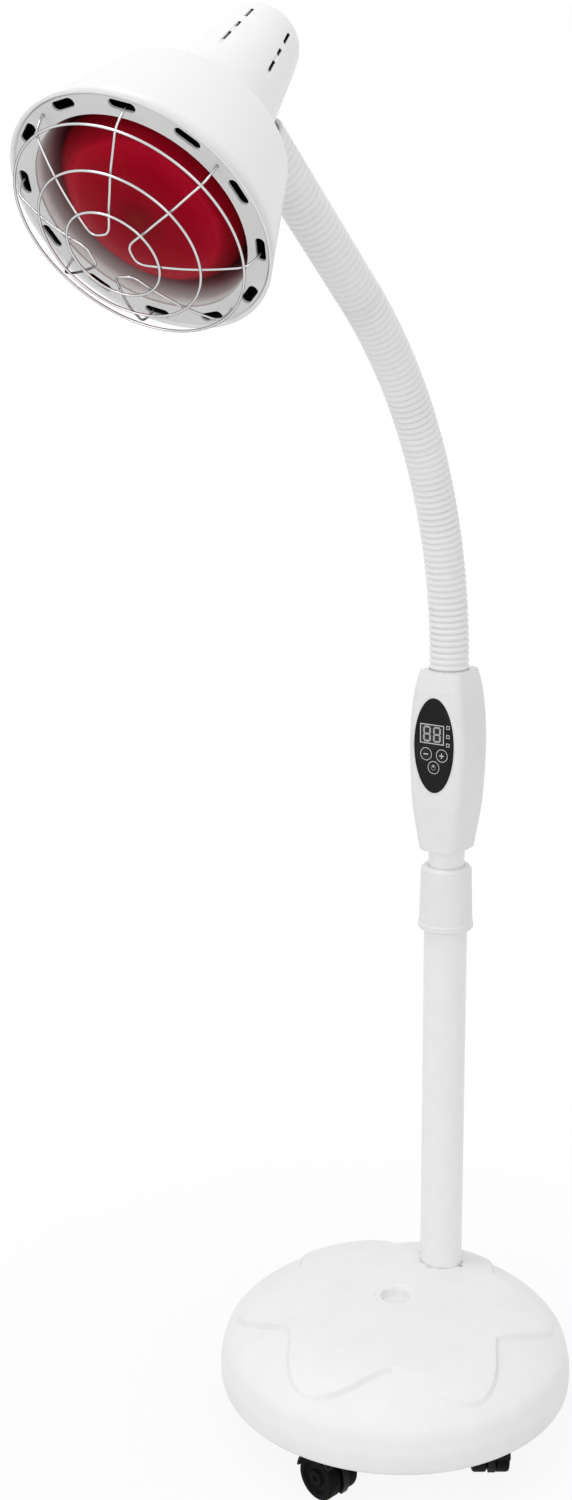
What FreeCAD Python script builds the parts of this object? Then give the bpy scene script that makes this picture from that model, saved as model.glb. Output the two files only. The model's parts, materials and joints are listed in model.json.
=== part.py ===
import FreeCAD, Part
import math
import os

# Infrared heat therapy lamp: a weighted base on five twin-wheel casters carries a telescoping pole, a
# control box and a flexible gooseneck with a tilting lamp head.
# Frame: +Z up, the front is -Y, the X = 0 plane is the plane of symmetry, and the origin is the centre of
# the base plate's underside. The floor lies at z = -CASTER_HEIGHT. Lengths are in millimetres.

# ---- Running and seating clearances
RUN = 0.06             # radial clearance of a running fit
SEAT = 0.3             # gap at a seat, and between bodies that pass each other
PRESS = 0.05           # radial clearance of a fixed shaft in its hole
BEYOND = 300.0         # how far a cutting shape runs past what it cuts

# ---- Base
COVER_R = 147.0        # widest radius of the moulded cover
COVER_EDGE_Z = -10.0   # lower edge of the cover's skirt
COVER_WALL = 3.0
DISC_TOP_Z = 50.0      # top of the plain disc, where the petals' cusps lie
CUSP_R = COVER_R * 2 / 3            # radius of the six cusps between the petals
PETAL_REACH = COVER_R - 14.0 - CUSP_R   # how far each petal's tip stands out beyond the cusps
PETAL_RISE = 4.0       # step from the disc up to the petals at the cusps
PETALS = 6
CROWN = 5.4            # rise of the petals' surface from the cusps to the centre
HUB_R = 11.9           # round recess in the middle of the cover
HUB_DEPTH = 7.0
HUB_RING_R = 17.0      # shallow ring round the recess
HUB_RING_DEPTH = 0.8
PLATE_R = COVER_R - 9.0             # steel base plate
PLATE_T = 3.0
SEAT_R = 46.0          # flat centre of the plate's underside, clear of every screw head
SEAT_GROOVE_W = 3.0    # shallow groove round that centre
SEAT_GROOVE_T = 1.0
WEIGHT_R = COVER_R - 47.0           # cast counterweight
WEIGHT_BORE_R = 18.0
WEIGHT_T = 15.0
WEIGHT_BOLT_R = 3.0
WEIGHT_BOLT_PITCH_R = 60.0
WEIGHT_BOLTS = 3
COVER_SCREWS = 5
COVER_SCREW_RADIUS = COVER_R - 24.0
COVER_SCREW_R = 2.0
COVER_SCREW_DEPTH = 12.0
BOSS_R = 5.0

# ---- Casters
CASTERS = 5
CASTER_HEIGHT = 50.0   # floor to base plate
CASTER_PITCH_R = COVER_R - 27.0
CASTER_TRAIL = 15.0
CASTER_YAWS = (-12.0, 125.0, 40.0, 160.0, 20.0)   # where each wheel pair trails, in degrees
WHEEL_R = 18.5
WHEEL_T = 11.5         # thickness of one wheel of the pair
WHEEL_EDGE = 2.5       # rounding of the tread's outer edge
WHEEL_GAP = 0.5        # wheel to web
WEB_T = 6.0            # body between the two wheels
WEB_BELOW = 11.0       # how far the web reaches below the axle
CASTER_HOOD_T = 1.8
CASTER_GAP = 0.7       # tread to hood
CASTER_HOOD_FRONT = 14.0           # how far the hood reaches ahead of the axle
AXLE_R = 2.5
STEM_R = 3.4
STEM_TOP_R = 8.0       # retaining head of the stem above the base plate
STEM_TOP_T = 4.0
STEM_COLLAR_T = 2.0
STEM_BOSS_WALL = 4.0
STEM_FOOT_RISE = 13.0  # the stem ends this far above the axle

# ---- Pole
POLE_Y = COVER_R - 70.0             # the pole stands on the rear petal
POLE_R = 18.0
POLE_WALL = 1.5
POLE_LENGTH = 395.0
SOCKET_WALL = 4.0
SOCKET_FLANGE_R = 34.0
SOCKET_FLANGE_T = 4.0
SOCKET_HEIGHT = 34.0
SOCKET_BOLTS = 4
SOCKET_BOLT_R = 2.5
SOCKET_BOLT_PITCH_R = 28.0
POLE_NOTCH = 3.0       # small notches at both sides of the pole's hole in the cover
SET_SCREW_R = 3.0
INNER_R = 15.0
INNER_WALL = 1.5
INNER_FOOT_Z = 45.0    # lower end of the inner pole at rest
FOOT_T = 12.0          # plastic foot plug that guides the inner pole
BUSH_LENGTH = 42.0
BUSH_FLANGE_T = 3.0
COLLAR_BOTTOM_Z = 364.0
COLLAR_LENGTH = 54.0
COLLAR_LOWER_R = 22.2
COLLAR_UPPER_R = 21.0
COLLAR_LIP = 0.8       # small lip round the collar's lower end
COLLAR_LIP_H = 5.0
COLLAR_CHAMFER = 2.5

# ---- Control box
BOX_BOTTOM_Z = 433.0
BOX_HEIGHT = 150.0
BOX_WIDEST = BOX_HEIGHT - 60.0      # height of the widest section above the box's bottom
BOX_HALF_X = (17.5, 25.8, 18.4)    # half width at the bottom, the widest section and the top
BOX_HALF_Y = (19.5, 23.0, 20.5)    # half depth at the bottom, along the flat front, and at the top
BOX_FLAT = (BOX_HEIGHT - 112.0, BOX_HEIGHT - 16.0)   # the flat front's start and end
INNER_IN_BOX = BOX_HEIGHT - 110.0   # how far the inner pole reaches into the control box
BOX_WALL = 2.2
BOX_FRONT_WALL = 3.0
BOX_CORNER_R = 8.0
BOX_SPLIT = 3.0        # the parting plane lies this far behind the pole's axis
PANEL_HALF_X = 19.0
PANEL_HALF_Z = 39.8
PANEL_RISE = BOX_HEIGHT - 59.5      # the panel's centre above the box's bottom
PANEL_T = 1.2
PANEL_RECESS = 1.4
DISPLAY_HALF_X = 11.2
DISPLAY_HALF_Z = 7.8
DISPLAY_X = -1.8
DISPLAY_UP = 9.5       # the display's centre above the panel's centre
LED_R = 1.4
LED_X = 12.6
LED_UPS = (16.5, 9.0, 2.0)
BUTTON_R = 4.2
BUTTON_TRAVEL = 0.8
BUTTON_FLANGE = 1.2    # how far the button's rear flange stands out
BUTTON_FLANGE_T = 1.4
BUTTON_PLACES = (("button_left", -7.3, -7.4), ("button_right", 7.3, -7.4), ("button_lower", -0.2, -18.0))
BOARD_HALF_X = 17.5
BOARD_HALF_Z = 33.0
BOARD_T = 1.6
BOARD_BACK = 8.2       # the board's front face behind the box's front
POST_R = 2.6
BOARD_SCREW_R = 1.0
MODULE = (30.0, 12.0, 34.0)        # power module, width, depth and height
MODULE_RISE = BOX_HEIGHT - 88.0
BOX_SCREW_R = 1.5
BOX_BOSS_R = 3.6
BOX_SCREW_RISES = (BOX_HEIGHT - 100.0, BOX_HEIGHT - 21.4)
BOX_SCREW_X = (16.5, 16.9)         # distance from the middle of the lower and the upper pair
BOX_SLEEVE = 14.0      # solid foot of the box that grips the inner pole
BOX_NECK_SEAT = 11.5   # solid head of the box that holds the gooseneck's foot
CLAMP_SCREW_R = 2.0
CLAMP_SCREW_RISE = 7.0
GLAND_R = 7.0
GLAND_BORE_R = 3.7
GLAND_FLANGE_R = 9.0
GLAND_RISE = BOX_HEIGHT - 96.0
GLAND_OUT = 11.0

# ---- Gooseneck
NECK_R = 16.0
NECK_BEND_R = 382.0    # bend radius of the gooseneck's centreline
NECK_BEND = 50.0       # how far it turns forwards, in degrees
NECK_STRAIGHT = 149.0  # straight run from the bend's end to the tilt bolt
NECK_LINKS = 7
NECK_FIRST = 16.0      # the first joint above the box, along the centreline
NECK_LAST = 24.0       # the hose ends this far before the tilt bolt
NECK_BALL_R = 15.0
NECK_BORE_R = 8.0
NECK_CUP = 6.0         # how far a link's cup ends before its joint's centre
NECK_SHOULDER = 2.0    # how far a link's full radius starts beyond its joint's centre
NECK_FLANGE_R = 17.6   # flange on the gooseneck's foot, inside the box
NECK_FLANGE_T = 4.0

# ---- Tilt knuckle
FERRULE_R = 13.5
FERRULE_T = 5.0
TONGUE_HALF_X = 4.8
TONGUE_R = 8.0
EAR_T = 2.4
TILT_BOLT_R = 3.0
TILT_HEAD_R = 5.5
TILT_HEAD_T = 3.0
TILT_NUT_T = 4.5
KNUCKLE_UP = 130.0     # tilt bolt behind the hood's rim plane
KNUCKLE_OUT = 46.0     # tilt bolt beside the hood's axis
BRACKET_T = 2.5
BRACKET_HALF_UP = 15.0
BRACKET_SCREW_R = 1.6

# ---- Lamp head; distances are from the rim plane, back along the hood's axis
HEAD_DROP = 41.36      # the lamp looks this far below the horizontal, in degrees
HOOD_RIM_R = 87.5
HOOD_WALL = 2.0
SHOULDER_R = 64.6
SHOULDER_BACK = 70.0
SHOULDER_ROUND = 9.0
HOOD_NECK_R = 40.5     # where the slotted neck leaves the hood's back
HOOD_NECK_BACK = 84.0
HOOD_NECK_END_R = 27.5
HOOD_NECK_END = 163.0
HOOD_END = 183.0
LEDGE = 1.6            # ring inside the rim that seats the vent ring
LEDGE_BACK = 2.6
VENT_RING_T = 1.6
OPENING_R = 71.0
VENTS = 12
VENT_R = 79.6
VENT_LENGTH = 17.5
VENT_WIDTH = 6.4
VENT_TURN = -9.0
SLOT_ROWS = 6
SLOT_TURN = -13.0
SLOT_WIDTH = 2.6
SLOTS = ((124.0, 134.5), (141.0, 147.5), (154.0, 164.5))
REFLECTOR_T = 1.0
BULB_R = 62.5
BULB_FRONT = -4.0      # the bulb's face stands slightly proud of the rim plane
BULB_WIDEST = 20.0
BULB_NECK_R = 17.5
BULB_NECK = 88.0
BULB_GLASS = 1.2
CAP_R = 13.2
CAP_START = 100.0
CAP_END = 126.0
CAP_TIP_R = 5.0
CAP_TIP_T = 2.5
HOLDER_R = 21.0
HOLDER_START = 103.0
HOLDER_END = 156.0
HOLDER_SCREW_R = 1.5
HOLDER_SCREW_Y = 12.0
HOLDER_SCREW_DEPTH = 6.0
STRAP_T = 1.5
STRAP_HALF_X = 9.0
GUARD_WIRE_R = 1.0
GUARD_CROSS = 2.25     # how far the U-shaped wires pass behind the rings' middles
GUARD_RINGS = ((76.4, 14.9), (53.8, 26.6), (30.8, 34.4))   # radius, height before the rim plane
GUARD_LEG_TURN = 23.0  # each U-shaped wire's legs lie this far either side of its middle
GUARD_LEG_R = 0.9
GUARD_LEGS = 4
GUARD_TURN_R = 15.5    # the U-shaped wires turn back this far from the axis
GUARD_HOOK_R = 79.4
GUARD_HOOK = 5.5       # the hooked ends reach this far behind the rim plane


# ---- Small helpers
def vec(x, y, z):
    return FreeCAD.Vector(x, y, z)


def polar(radius, degrees, z=0.0):
    """A point at a radius and an angle about the Z axis."""
    a = math.radians(degrees)
    return vec(radius * math.cos(a), radius * math.sin(a), z)


def around(count, start=0.0):
    """The angles of a pattern that repeats round a circle."""
    return [start + 360.0 * i / count for i in range(count)]


def outline(start, *steps):
    """A face in the XZ plane. A step is a point for a line, two points for an arc, more for a spline."""
    edges = []
    here = vec(start[0], 0, start[1])
    for step in steps:
        points = [step] if not isinstance(step[0], tuple) else list(step)
        points = [vec(p[0], 0, p[1]) for p in points]
        if len(points) == 1:
            edges.append(Part.makeLine(here, points[0]))
        elif len(points) == 2:
            edges.append(Part.Arc(here, points[0], points[1]).toShape())
        else:
            curve = Part.BSplineCurve()
            curve.interpolate([here] + points)
            edges.append(curve.toShape())
        here = points[-1]
    first = vec(start[0], 0, start[1])
    if here.distanceToPoint(first) > 1e-6:
        edges.append(Part.makeLine(here, first))
    return Part.Face(Part.Wire(edges))


def turned(start, *steps):
    """A solid of revolution about Z from an outline of (radius, height) points."""
    return outline(start, *steps).revolve(vec(0, 0, 0), vec(0, 0, 1), 360)


def rod(radius, start, end):
    """A round bar between two points."""
    along = end - start
    return Part.makeCylinder(radius, along.Length, start, along)


def pipe(outer, inner, start, end):
    return rod(outer, start, end).cut(rod(inner, start, end))


def box(low, high):
    size = high - low
    return Part.makeBox(size.x, size.y, size.z, low)


def moved(shape, offset):
    copy = shape.copy()
    copy.translate(offset)
    return copy


def spun(shape, degrees, centre=vec(0, 0, 0), axis=vec(0, 0, 1)):
    copy = shape.copy()
    copy.rotate(centre, axis, degrees)
    return copy


def fused(first, *others):
    return first.fuse(list(others)).removeSplitter() if others else first


def export(name, *solids):
    """Writes one named node, made of one solid or of a group of separate ones."""
    shape = solids[0] if len(solids) == 1 else Part.makeCompound(list(solids))
    shape.exportStep(os.path.join("parts", name + ".step"))


# ---- Base
def petal_outline(inset=0.0):
    """The closed six-lobed outline: r = cusp + reach * (0.35 s + 0.65 s^2) with s = |sin(3 a)|."""
    edges = []
    steps = 8
    sector = 360.0 / PETALS
    for petal in range(PETALS):
        points = []
        for i in range(steps + 1):
            turn = sector * (petal + i / steps)
            s = abs(math.sin(math.radians(turn) * PETALS / 2))
            points.append(polar(CUSP_R - inset + PETAL_REACH * (0.35 * s + 0.65 * s * s), turn, 0))
        curve = Part.BSplineCurve()
        curve.interpolate(points)
        edges.append(curve.toShape())
    return Part.Face(Part.Wire(edges))


def disc_profile(shift):
    """The plain disc's outer surface from the centre to the skirt's edge, moved inwards by shift."""
    r = COVER_R - shift
    top = DISC_TOP_Z - shift
    edge = COVER_EDGE_Z
    drop = top - edge
    curve = (
        (CUSP_R + 14, top - 0.090 * drop),
        (CUSP_R + 26, top - 0.187 * drop),
        (r - 12 - 0.2 * shift, top - 0.317 * drop),
        (r - 5, top - 0.442 * drop),
        (r - 1.8, top - 0.60 * drop),
        (r, top - 0.75 * drop),
        (r, top - 0.883 * drop),
        (r - 1, edge),
    )
    return (0, top), (CUSP_R, top), curve


def base_cover():
    top, flat, curve = disc_profile(0)
    cover = turned((0, COVER_EDGE_Z), top, flat, curve)
    peak = DISC_TOP_Z + PETAL_RISE
    crown = (
        (0.6 * CUSP_R, peak + 0.8 * CROWN),
        (CUSP_R, peak),
        (CUSP_R + 0.5 * PETAL_REACH, peak - 6.6),
        (CUSP_R + PETAL_REACH, peak - 17.1),
        (COVER_R - 2, peak - 33.4),
    )
    dome = turned((0, COVER_EDGE_Z + 12), (0, peak + CROWN), crown, (COVER_R - 6, COVER_EDGE_Z + 12))
    petals = petal_outline().extrude(vec(0, 0, BEYOND)).common(dome)
    cover = cover.fuse(petals)
    top, flat, curve = disc_profile(COVER_WALL)
    below = COVER_EDGE_Z - 1
    last = curve[-1]
    hollow = turned((0, below), top, flat, curve, (last[0], below))
    cover = cover.cut(hollow)
    for turn in cover_screw_turns():
        boss = rod(BOSS_R, polar(COVER_SCREW_RADIUS, turn, PLATE_T), polar(COVER_SCREW_RADIUS, turn, 60))
        cover = cover.fuse(boss.common(turned((0, below), *disc_profile(1))))
    for turn in cover_screw_turns():
        low = polar(COVER_SCREW_RADIUS, turn, below)
        deep = polar(COVER_SCREW_RADIUS, turn, PLATE_T + COVER_SCREW_DEPTH)
        cover = cover.cut(rod(COVER_SCREW_R + PRESS, low, deep))
    pole_hole = rod(POLE_R + SEAT, vec(0, POLE_Y, below), vec(0, POLE_Y, peak + 20))
    reach = POLE_R + SEAT + POLE_NOTCH
    notch = box(vec(-reach, POLE_Y - POLE_NOTCH / 2, below), vec(reach, POLE_Y + POLE_NOTCH / 2, peak + 20))
    cover = cover.cut(pole_hole).cut(notch)
    hub_top = peak + CROWN
    recess = rod(HUB_R, vec(0, 0, hub_top - HUB_DEPTH), vec(0, 0, hub_top + 5))
    ring = rod(HUB_RING_R, vec(0, 0, hub_top - HUB_RING_DEPTH), vec(0, 0, hub_top + 5))
    return cover.cut(recess).cut(ring).removeSplitter()


def cover_screw_turns():
    return around(COVER_SCREWS, caster_turns()[0] + 180.0 / CASTERS)


def caster_turns():
    return around(CASTERS, -90.0)


def weight_bolt_turns():
    return around(WEIGHT_BOLTS, -90.0)


def socket_bolt_places():
    return [vec(0, POLE_Y, 0) + polar(SOCKET_BOLT_PITCH_R, turn) for turn in around(SOCKET_BOLTS, 45.0)]


def base_plate():
    plate = rod(PLATE_R, vec(0, 0, 0), vec(0, 0, PLATE_T))
    holes = [(polar(CASTER_PITCH_R, turn), STEM_R + PRESS) for turn in caster_turns()]
    holes += [(polar(COVER_SCREW_RADIUS, turn), COVER_SCREW_R + PRESS) for turn in cover_screw_turns()]
    holes += [(polar(WEIGHT_BOLT_PITCH_R, turn), WEIGHT_BOLT_R + PRESS) for turn in weight_bolt_turns()]
    holes += [(place, SOCKET_BOLT_R + PRESS) for place in socket_bolt_places()]
    for place, radius in holes:
        plate = plate.cut(rod(radius, place - vec(0, 0, 1), place + vec(0, 0, PLATE_T + 1)))
    groove = pipe(SEAT_R + SEAT_GROOVE_W, SEAT_R, vec(0, 0, -1), vec(0, 0, SEAT_GROOVE_T))
    return plate.cut(groove)


def counterweight():
    low = PLATE_T
    weight = pipe(WEIGHT_R, WEIGHT_BORE_R, vec(0, 0, low), vec(0, 0, low + WEIGHT_T))
    clear = SOCKET_FLANGE_R + SEAT
    weight = weight.cut(rod(clear, vec(0, POLE_Y, low - 1), vec(0, POLE_Y, low + WEIGHT_T + 1)))
    for turn in weight_bolt_turns():
        start = polar(WEIGHT_BOLT_PITCH_R, turn, low - 1)
        end = polar(WEIGHT_BOLT_PITCH_R, turn, low + WEIGHT_T - 3)
        weight = weight.cut(rod(WEIGHT_BOLT_R + PRESS, start, end))
    return weight


def bolt(radius, head_r, head_t, under_head, tip):
    """A screw whose head lies at under_head, outside, and whose shank runs to tip."""
    inward = (tip - under_head).normalize()
    head = rod(head_r, under_head - inward * head_t, under_head)
    return fused(head, rod(radius, under_head, tip))


def base_fasteners():
    """Screws from below for the cover and the counterweight; the pole socket's bolts and nuts."""
    screws = []
    for turn in cover_screw_turns():
        seat = polar(COVER_SCREW_RADIUS, turn, 0)
        tip = polar(COVER_SCREW_RADIUS, turn, PLATE_T + COVER_SCREW_DEPTH - 1)
        screws.append(bolt(COVER_SCREW_R, 3.6, 2.2, seat, tip))
    for turn in weight_bolt_turns():
        seat = polar(WEIGHT_BOLT_PITCH_R, turn, 0)
        tip = polar(WEIGHT_BOLT_PITCH_R, turn, PLATE_T + WEIGHT_T - 4)
        screws.append(bolt(WEIGHT_BOLT_R, 5.0, 3.0, seat, tip))
    export("base_screws", *screws)
    bolts = []
    nuts = []
    top = vec(0, 0, PLATE_T + SOCKET_FLANGE_T)
    for place in socket_bolt_places():
        bolts.append(bolt(SOCKET_BOLT_R, 4.2, 3.0, place + top, place - vec(0, 0, 5)))
        nuts.append(pipe(4.5, SOCKET_BOLT_R + PRESS, place - vec(0, 0, 4), place))
    export("socket_bolts", *(bolts + nuts))


def pole_socket():
    """Flanged steel socket that holds the outer pole's foot."""
    foot = vec(0, POLE_Y, PLATE_T)
    seat = foot + vec(0, 0, SOCKET_FLANGE_T)
    top = foot + vec(0, 0, SOCKET_HEIGHT)
    outer_r = POLE_R + SOCKET_WALL
    socket = fused(rod(SOCKET_FLANGE_R, foot, seat), rod(outer_r, foot, top))
    socket = socket.cut(rod(POLE_R + PRESS, seat, top + vec(0, 0, 1)))
    for place in socket_bolt_places():
        start = place + vec(0, 0, PLATE_T - 1)
        socket = socket.cut(rod(SOCKET_BOLT_R + PRESS, start, start + vec(0, 0, SOCKET_FLANGE_T + 2)))
    level = vec(0, 0, set_screw_z())
    axis = vec(0, POLE_Y, 0) + level
    return socket.cut(rod(SET_SCREW_R + PRESS, axis, axis + vec(0, outer_r + 5, 0)))


def set_screw_z():
    return PLATE_T + SOCKET_HEIGHT - 10


def set_screw():
    """Screw that clamps the outer pole in its socket from behind."""
    tip = vec(0, POLE_Y + POLE_R + PRESS, set_screw_z())
    return bolt(SET_SCREW_R, 5.0, 3.0, tip + vec(0, SOCKET_WALL + 0.5, 0), tip)


# ---- Casters, each built at its stem with the wheels trailing along +X
def axle_height():
    return WHEEL_R - CASTER_HEIGHT


def caster_hood():
    """Swivelling body: a web between the wheels, a curved hood over them and a boss round the stem."""
    half = wheel_outside()
    centre = vec(CASTER_TRAIL, 0, axle_height())
    inner = WHEEL_R + CASTER_GAP
    outer = inner + CASTER_HOOD_T
    side = vec(0, 1, 0)
    shell = pipe(outer, inner, centre - side * half, centre + side * half)
    ahead = CASTER_TRAIL + CASTER_HOOD_FRONT
    keep = box(vec(CASTER_TRAIL - outer, -half, axle_height() + AXLE_R), vec(ahead, half, 0))
    shell = shell.common(keep)
    web = rod(outer - 0.5, centre - side * WEB_T / 2, centre + side * WEB_T / 2)
    web = web.cut(box(vec(-60, -40, -80), vec(80, 40, axle_height() - WEB_BELOW)))
    boss_foot = vec(0, 0, axle_height() + STEM_FOOT_RISE - 2)
    boss = rod(STEM_R + STEM_BOSS_WALL, boss_foot, vec(0, 0, -STEM_COLLAR_T - SEAT))
    wheel_space = [
        rod(inner, centre + side * sign * (WEB_T / 2), centre + side * sign * (half + 5)) for sign in (-1, 1)
    ]
    boss = boss.cut(wheel_space[0]).cut(wheel_space[1])
    body = fused(shell, web, boss)
    body = body.cut(rod(STEM_R + RUN, vec(0, 0, stem_foot_z() - SEAT), vec(0, 0, 5)))
    return body.cut(rod(AXLE_R + RUN, centre - side * 30, centre + side * 30))


def wheel_outside():
    """The wheel pair's outer face, beside the caster's middle plane."""
    return WEB_T / 2 + WHEEL_GAP + WHEEL_T


def stem_foot_z():
    return axle_height() + STEM_FOOT_RISE


def caster_stem():
    """Fixed steel stem: collar under the base plate, riveted head above it."""
    stem = rod(STEM_R, vec(0, 0, stem_foot_z()), vec(0, 0, PLATE_T))
    collar = rod(STEM_R + STEM_BOSS_WALL, vec(0, 0, -STEM_COLLAR_T), vec(0, 0, 0))
    head = rod(STEM_TOP_R, vec(0, 0, PLATE_T), vec(0, 0, PLATE_T + STEM_TOP_T))
    return fused(stem, collar, head)


def caster_wheel(sign):
    """One wheel of the pair: rounded tread, dished outer face."""
    inside = WEB_T / 2 + WHEEL_GAP
    outside = wheel_outside()
    bore = AXLE_R + PRESS
    k = WHEEL_EDGE * (1 - math.sqrt(0.5))
    wheel = turned(
        (bore, inside),
        (WHEEL_R - 1, inside),
        (WHEEL_R, inside + 1),
        (WHEEL_R, outside - WHEEL_EDGE),
        ((WHEEL_R - k, outside - k), (WHEEL_R - WHEEL_EDGE, outside)),
        (WHEEL_R - 5, outside),
        (WHEEL_R - 6.5, outside - 2),
        (7, outside - 2),
        (6, outside),
        (bore, outside),
    )
    wheel = spun(wheel, -90 * sign, axis=vec(1, 0, 0))
    return moved(wheel, vec(CASTER_TRAIL, 0, axle_height()))


def casters():
    half = wheel_outside() - 1
    hub = vec(CASTER_TRAIL, 0, axle_height())
    axle = rod(AXLE_R, hub - vec(0, half, 0), hub + vec(0, half, 0))
    pieces = {"hood": [caster_hood()], "wheels": [caster_wheel(1), caster_wheel(-1), axle]}
    stems = []
    for number, (turn, yaw) in enumerate(zip(caster_turns(), CASTER_YAWS), 1):
        place = polar(CASTER_PITCH_R, turn)
        for name, solids in pieces.items():
            placed = [moved(spun(solid, yaw), place) for solid in solids]
            export("caster_%d_%s" % (number, name), *placed)
        stems.append(moved(caster_stem(), place))
    export("caster_stems", *stems)


# ---- Pole
def pole_foot_z():
    return PLATE_T + SOCKET_FLANGE_T


def pole_top_z():
    return pole_foot_z() + POLE_LENGTH


def on_pole(z, y=0.0):
    return vec(0, POLE_Y + y, z)


def outer_pole():
    return pipe(POLE_R, POLE_R - POLE_WALL, on_pole(pole_foot_z()), on_pole(pole_top_z()))


def guide_bush():
    """Plastic bush in the outer pole's top; it turns there, and the inner pole slides through it."""
    top = pole_top_z()
    sleeve_r = POLE_R - POLE_WALL - RUN
    flange_top = top + SEAT + BUSH_FLANGE_T
    sleeve = rod(sleeve_r, on_pole(top - BUSH_LENGTH), on_pole(flange_top))
    flange = rod(POLE_R - 0.5, on_pole(top + SEAT), on_pole(flange_top))
    bore = rod(INNER_R + RUN, on_pole(top - BUSH_LENGTH - 1), on_pole(flange_top + 1))
    return fused(sleeve, flange).cut(bore)


def lock_collar():
    """Twist collar on the outer pole's top, closed round the inner pole above the bush."""
    low = COLLAR_BOTTOM_Z
    top = low + COLLAR_LENGTH
    shoulder = pole_top_z() + 2 * SEAT + BUSH_FLANGE_T
    bore = POLE_R + RUN
    throat = INNER_R + SEAT
    collar = turned(
        (bore, low),
        (COLLAR_LOWER_R + COLLAR_LIP - 1, low),
        (COLLAR_LOWER_R + COLLAR_LIP, low + 1),
        (COLLAR_LOWER_R + COLLAR_LIP, low + COLLAR_LIP_H),
        (COLLAR_LOWER_R, low + COLLAR_LIP_H + 0.8),
        (COLLAR_UPPER_R, top - COLLAR_CHAMFER),
        (COLLAR_UPPER_R - COLLAR_CHAMFER, top),
        (throat, top),
        (throat, shoulder),
        (bore, shoulder),
    )
    return moved(collar, on_pole(0))


def inner_pole():
    top = BOX_BOTTOM_Z + INNER_IN_BOX
    tube = pipe(INNER_R, INNER_R - INNER_WALL, on_pole(INNER_FOOT_Z), on_pole(top))
    level = BOX_BOTTOM_Z + CLAMP_SCREW_RISE
    return tube.cut(rod(CLAMP_SCREW_R + PRESS, on_pole(level), on_pole(level, INNER_R + 2)))


def inner_pole_foot():
    """Plug in the inner pole's lower end; its rim runs in the outer pole."""
    rim = rod(POLE_R - POLE_WALL - RUN, on_pole(INNER_FOOT_Z - 6), on_pole(INNER_FOOT_Z))
    plug = rod(INNER_R - INNER_WALL - PRESS, on_pole(INNER_FOOT_Z), on_pole(INNER_FOOT_Z + FOOT_T))
    hole = rod(6.0, on_pole(INNER_FOOT_Z - 10), on_pole(INNER_FOOT_Z + FOOT_T + 1))
    return fused(rim, plug).cut(hole)


# ---- Control box
def box_z(rise):
    return BOX_BOTTOM_Z + rise


def front_y(depth=0.0):
    """The flat front's plane, or a plane that lies deeper in the box."""
    return POLE_Y - BOX_HALF_Y[1] + depth


def box_body(wall, front_wall):
    """The box's whole form: a barrel from the front, a shallower barrel from the side, rounded edges."""
    low, high = box_z(wall), box_z(BOX_HEIGHT - wall)
    wide = box_z(BOX_WIDEST)
    x0, x1, x2 = (half - wall for half in BOX_HALF_X)
    lower = bulge(x0, x1, (wide - low))
    upper = bulge(x2, x1, (high - wide))
    front = outline(
        (-x0, low),
        (x0, low),
        ((lower, (low + wide) / 2), (x1, wide)),
        ((upper, (high + wide) / 2), (x2, high)),
        (-x2, high),
        ((-upper, (high + wide) / 2), (-x1, wide)),
        ((-lower, (low + wide) / 2), (-x0, low)),
    )
    barrel = moved(front.extrude(vec(0, 2 * BEYOND, 0)), vec(0, POLE_Y - BEYOND, 0))
    flat_low, flat_high = box_z(BOX_FLAT[0]), box_z(BOX_FLAT[1])
    points = [
        (POLE_Y - BOX_HALF_Y[0] + front_wall, low),
        (POLE_Y - BOX_HALF_Y[1] + front_wall, flat_low),
        (POLE_Y - BOX_HALF_Y[1] + front_wall, flat_high),
        (POLE_Y - BOX_HALF_Y[2] + front_wall, high),
        (POLE_Y + BOX_HALF_Y[2] - wall, high),
        (POLE_Y + BOX_HALF_Y[1] - wall, flat_high),
        (POLE_Y + BOX_HALF_Y[1] - wall, flat_low),
        (POLE_Y + BOX_HALF_Y[0] - wall, low),
    ]
    corners = [vec(-BEYOND, y, z) for y, z in points]
    side = Part.Face(Part.makePolygon(corners + corners[:1])).extrude(vec(2 * BEYOND, 0, 0))
    body = barrel.common(side)
    upright = [edge for edge in body.Edges if is_corner(edge)]
    return body.makeFillet(BOX_CORNER_R - wall, upright)


def bulge(end, middle, height):
    """The half-way point of the arc that leaves the widest section square and meets the end."""
    sag = middle - end
    radius = (height * height + sag * sag) / (2 * sag)
    return middle - radius + math.sqrt(radius * radius - height * height / 4)


def is_corner(edge):
    """True for the long edges at the box's four upright corners."""
    start, end = edge.Vertexes[0].Point, edge.Vertexes[-1].Point
    off = min(abs(start.y - POLE_Y), abs(end.y - POLE_Y), abs(start.x), abs(end.x))
    return abs(start.z - end.z) > 5 and off > 5


def box_screw_places():
    """The four box screws' axes, as (x, z)."""
    pairs = zip(BOX_SCREW_X, BOX_SCREW_RISES)
    return [(sign * x, box_z(rise)) for x, rise in pairs for sign in (-1, 1)]


def board_post_places():
    x, z = BOARD_HALF_X - POST_R, BOARD_HALF_Z - POST_R
    centre = box_z(PANEL_RISE)
    return [(sx * x, centre + sz * z) for sx in (-1, 1) for sz in (-1, 1)]


def along_y(radius, x, z, start, end):
    return rod(radius, vec(x, start, z), vec(x, end, z))


def oval(half_x, half_z, start, end):
    """An upright oval plate round the panel's centre, between two planes."""
    centre = vec(0, start, box_z(PANEL_RISE))
    curve = Part.Ellipse(centre + vec(0, 0, half_z), centre + vec(half_x, 0, 0), centre).toShape()
    return Part.Face(Part.Wire([curve])).extrude(vec(0, end - start, 0))


def display_window(clear, start, end):
    z = box_z(PANEL_RISE + DISPLAY_UP)
    low = vec(DISPLAY_X - DISPLAY_HALF_X - clear, start, z - DISPLAY_HALF_Z - clear)
    high = vec(DISPLAY_X + DISPLAY_HALF_X + clear, end, z + DISPLAY_HALF_Z + clear)
    return box(low, high)


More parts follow.
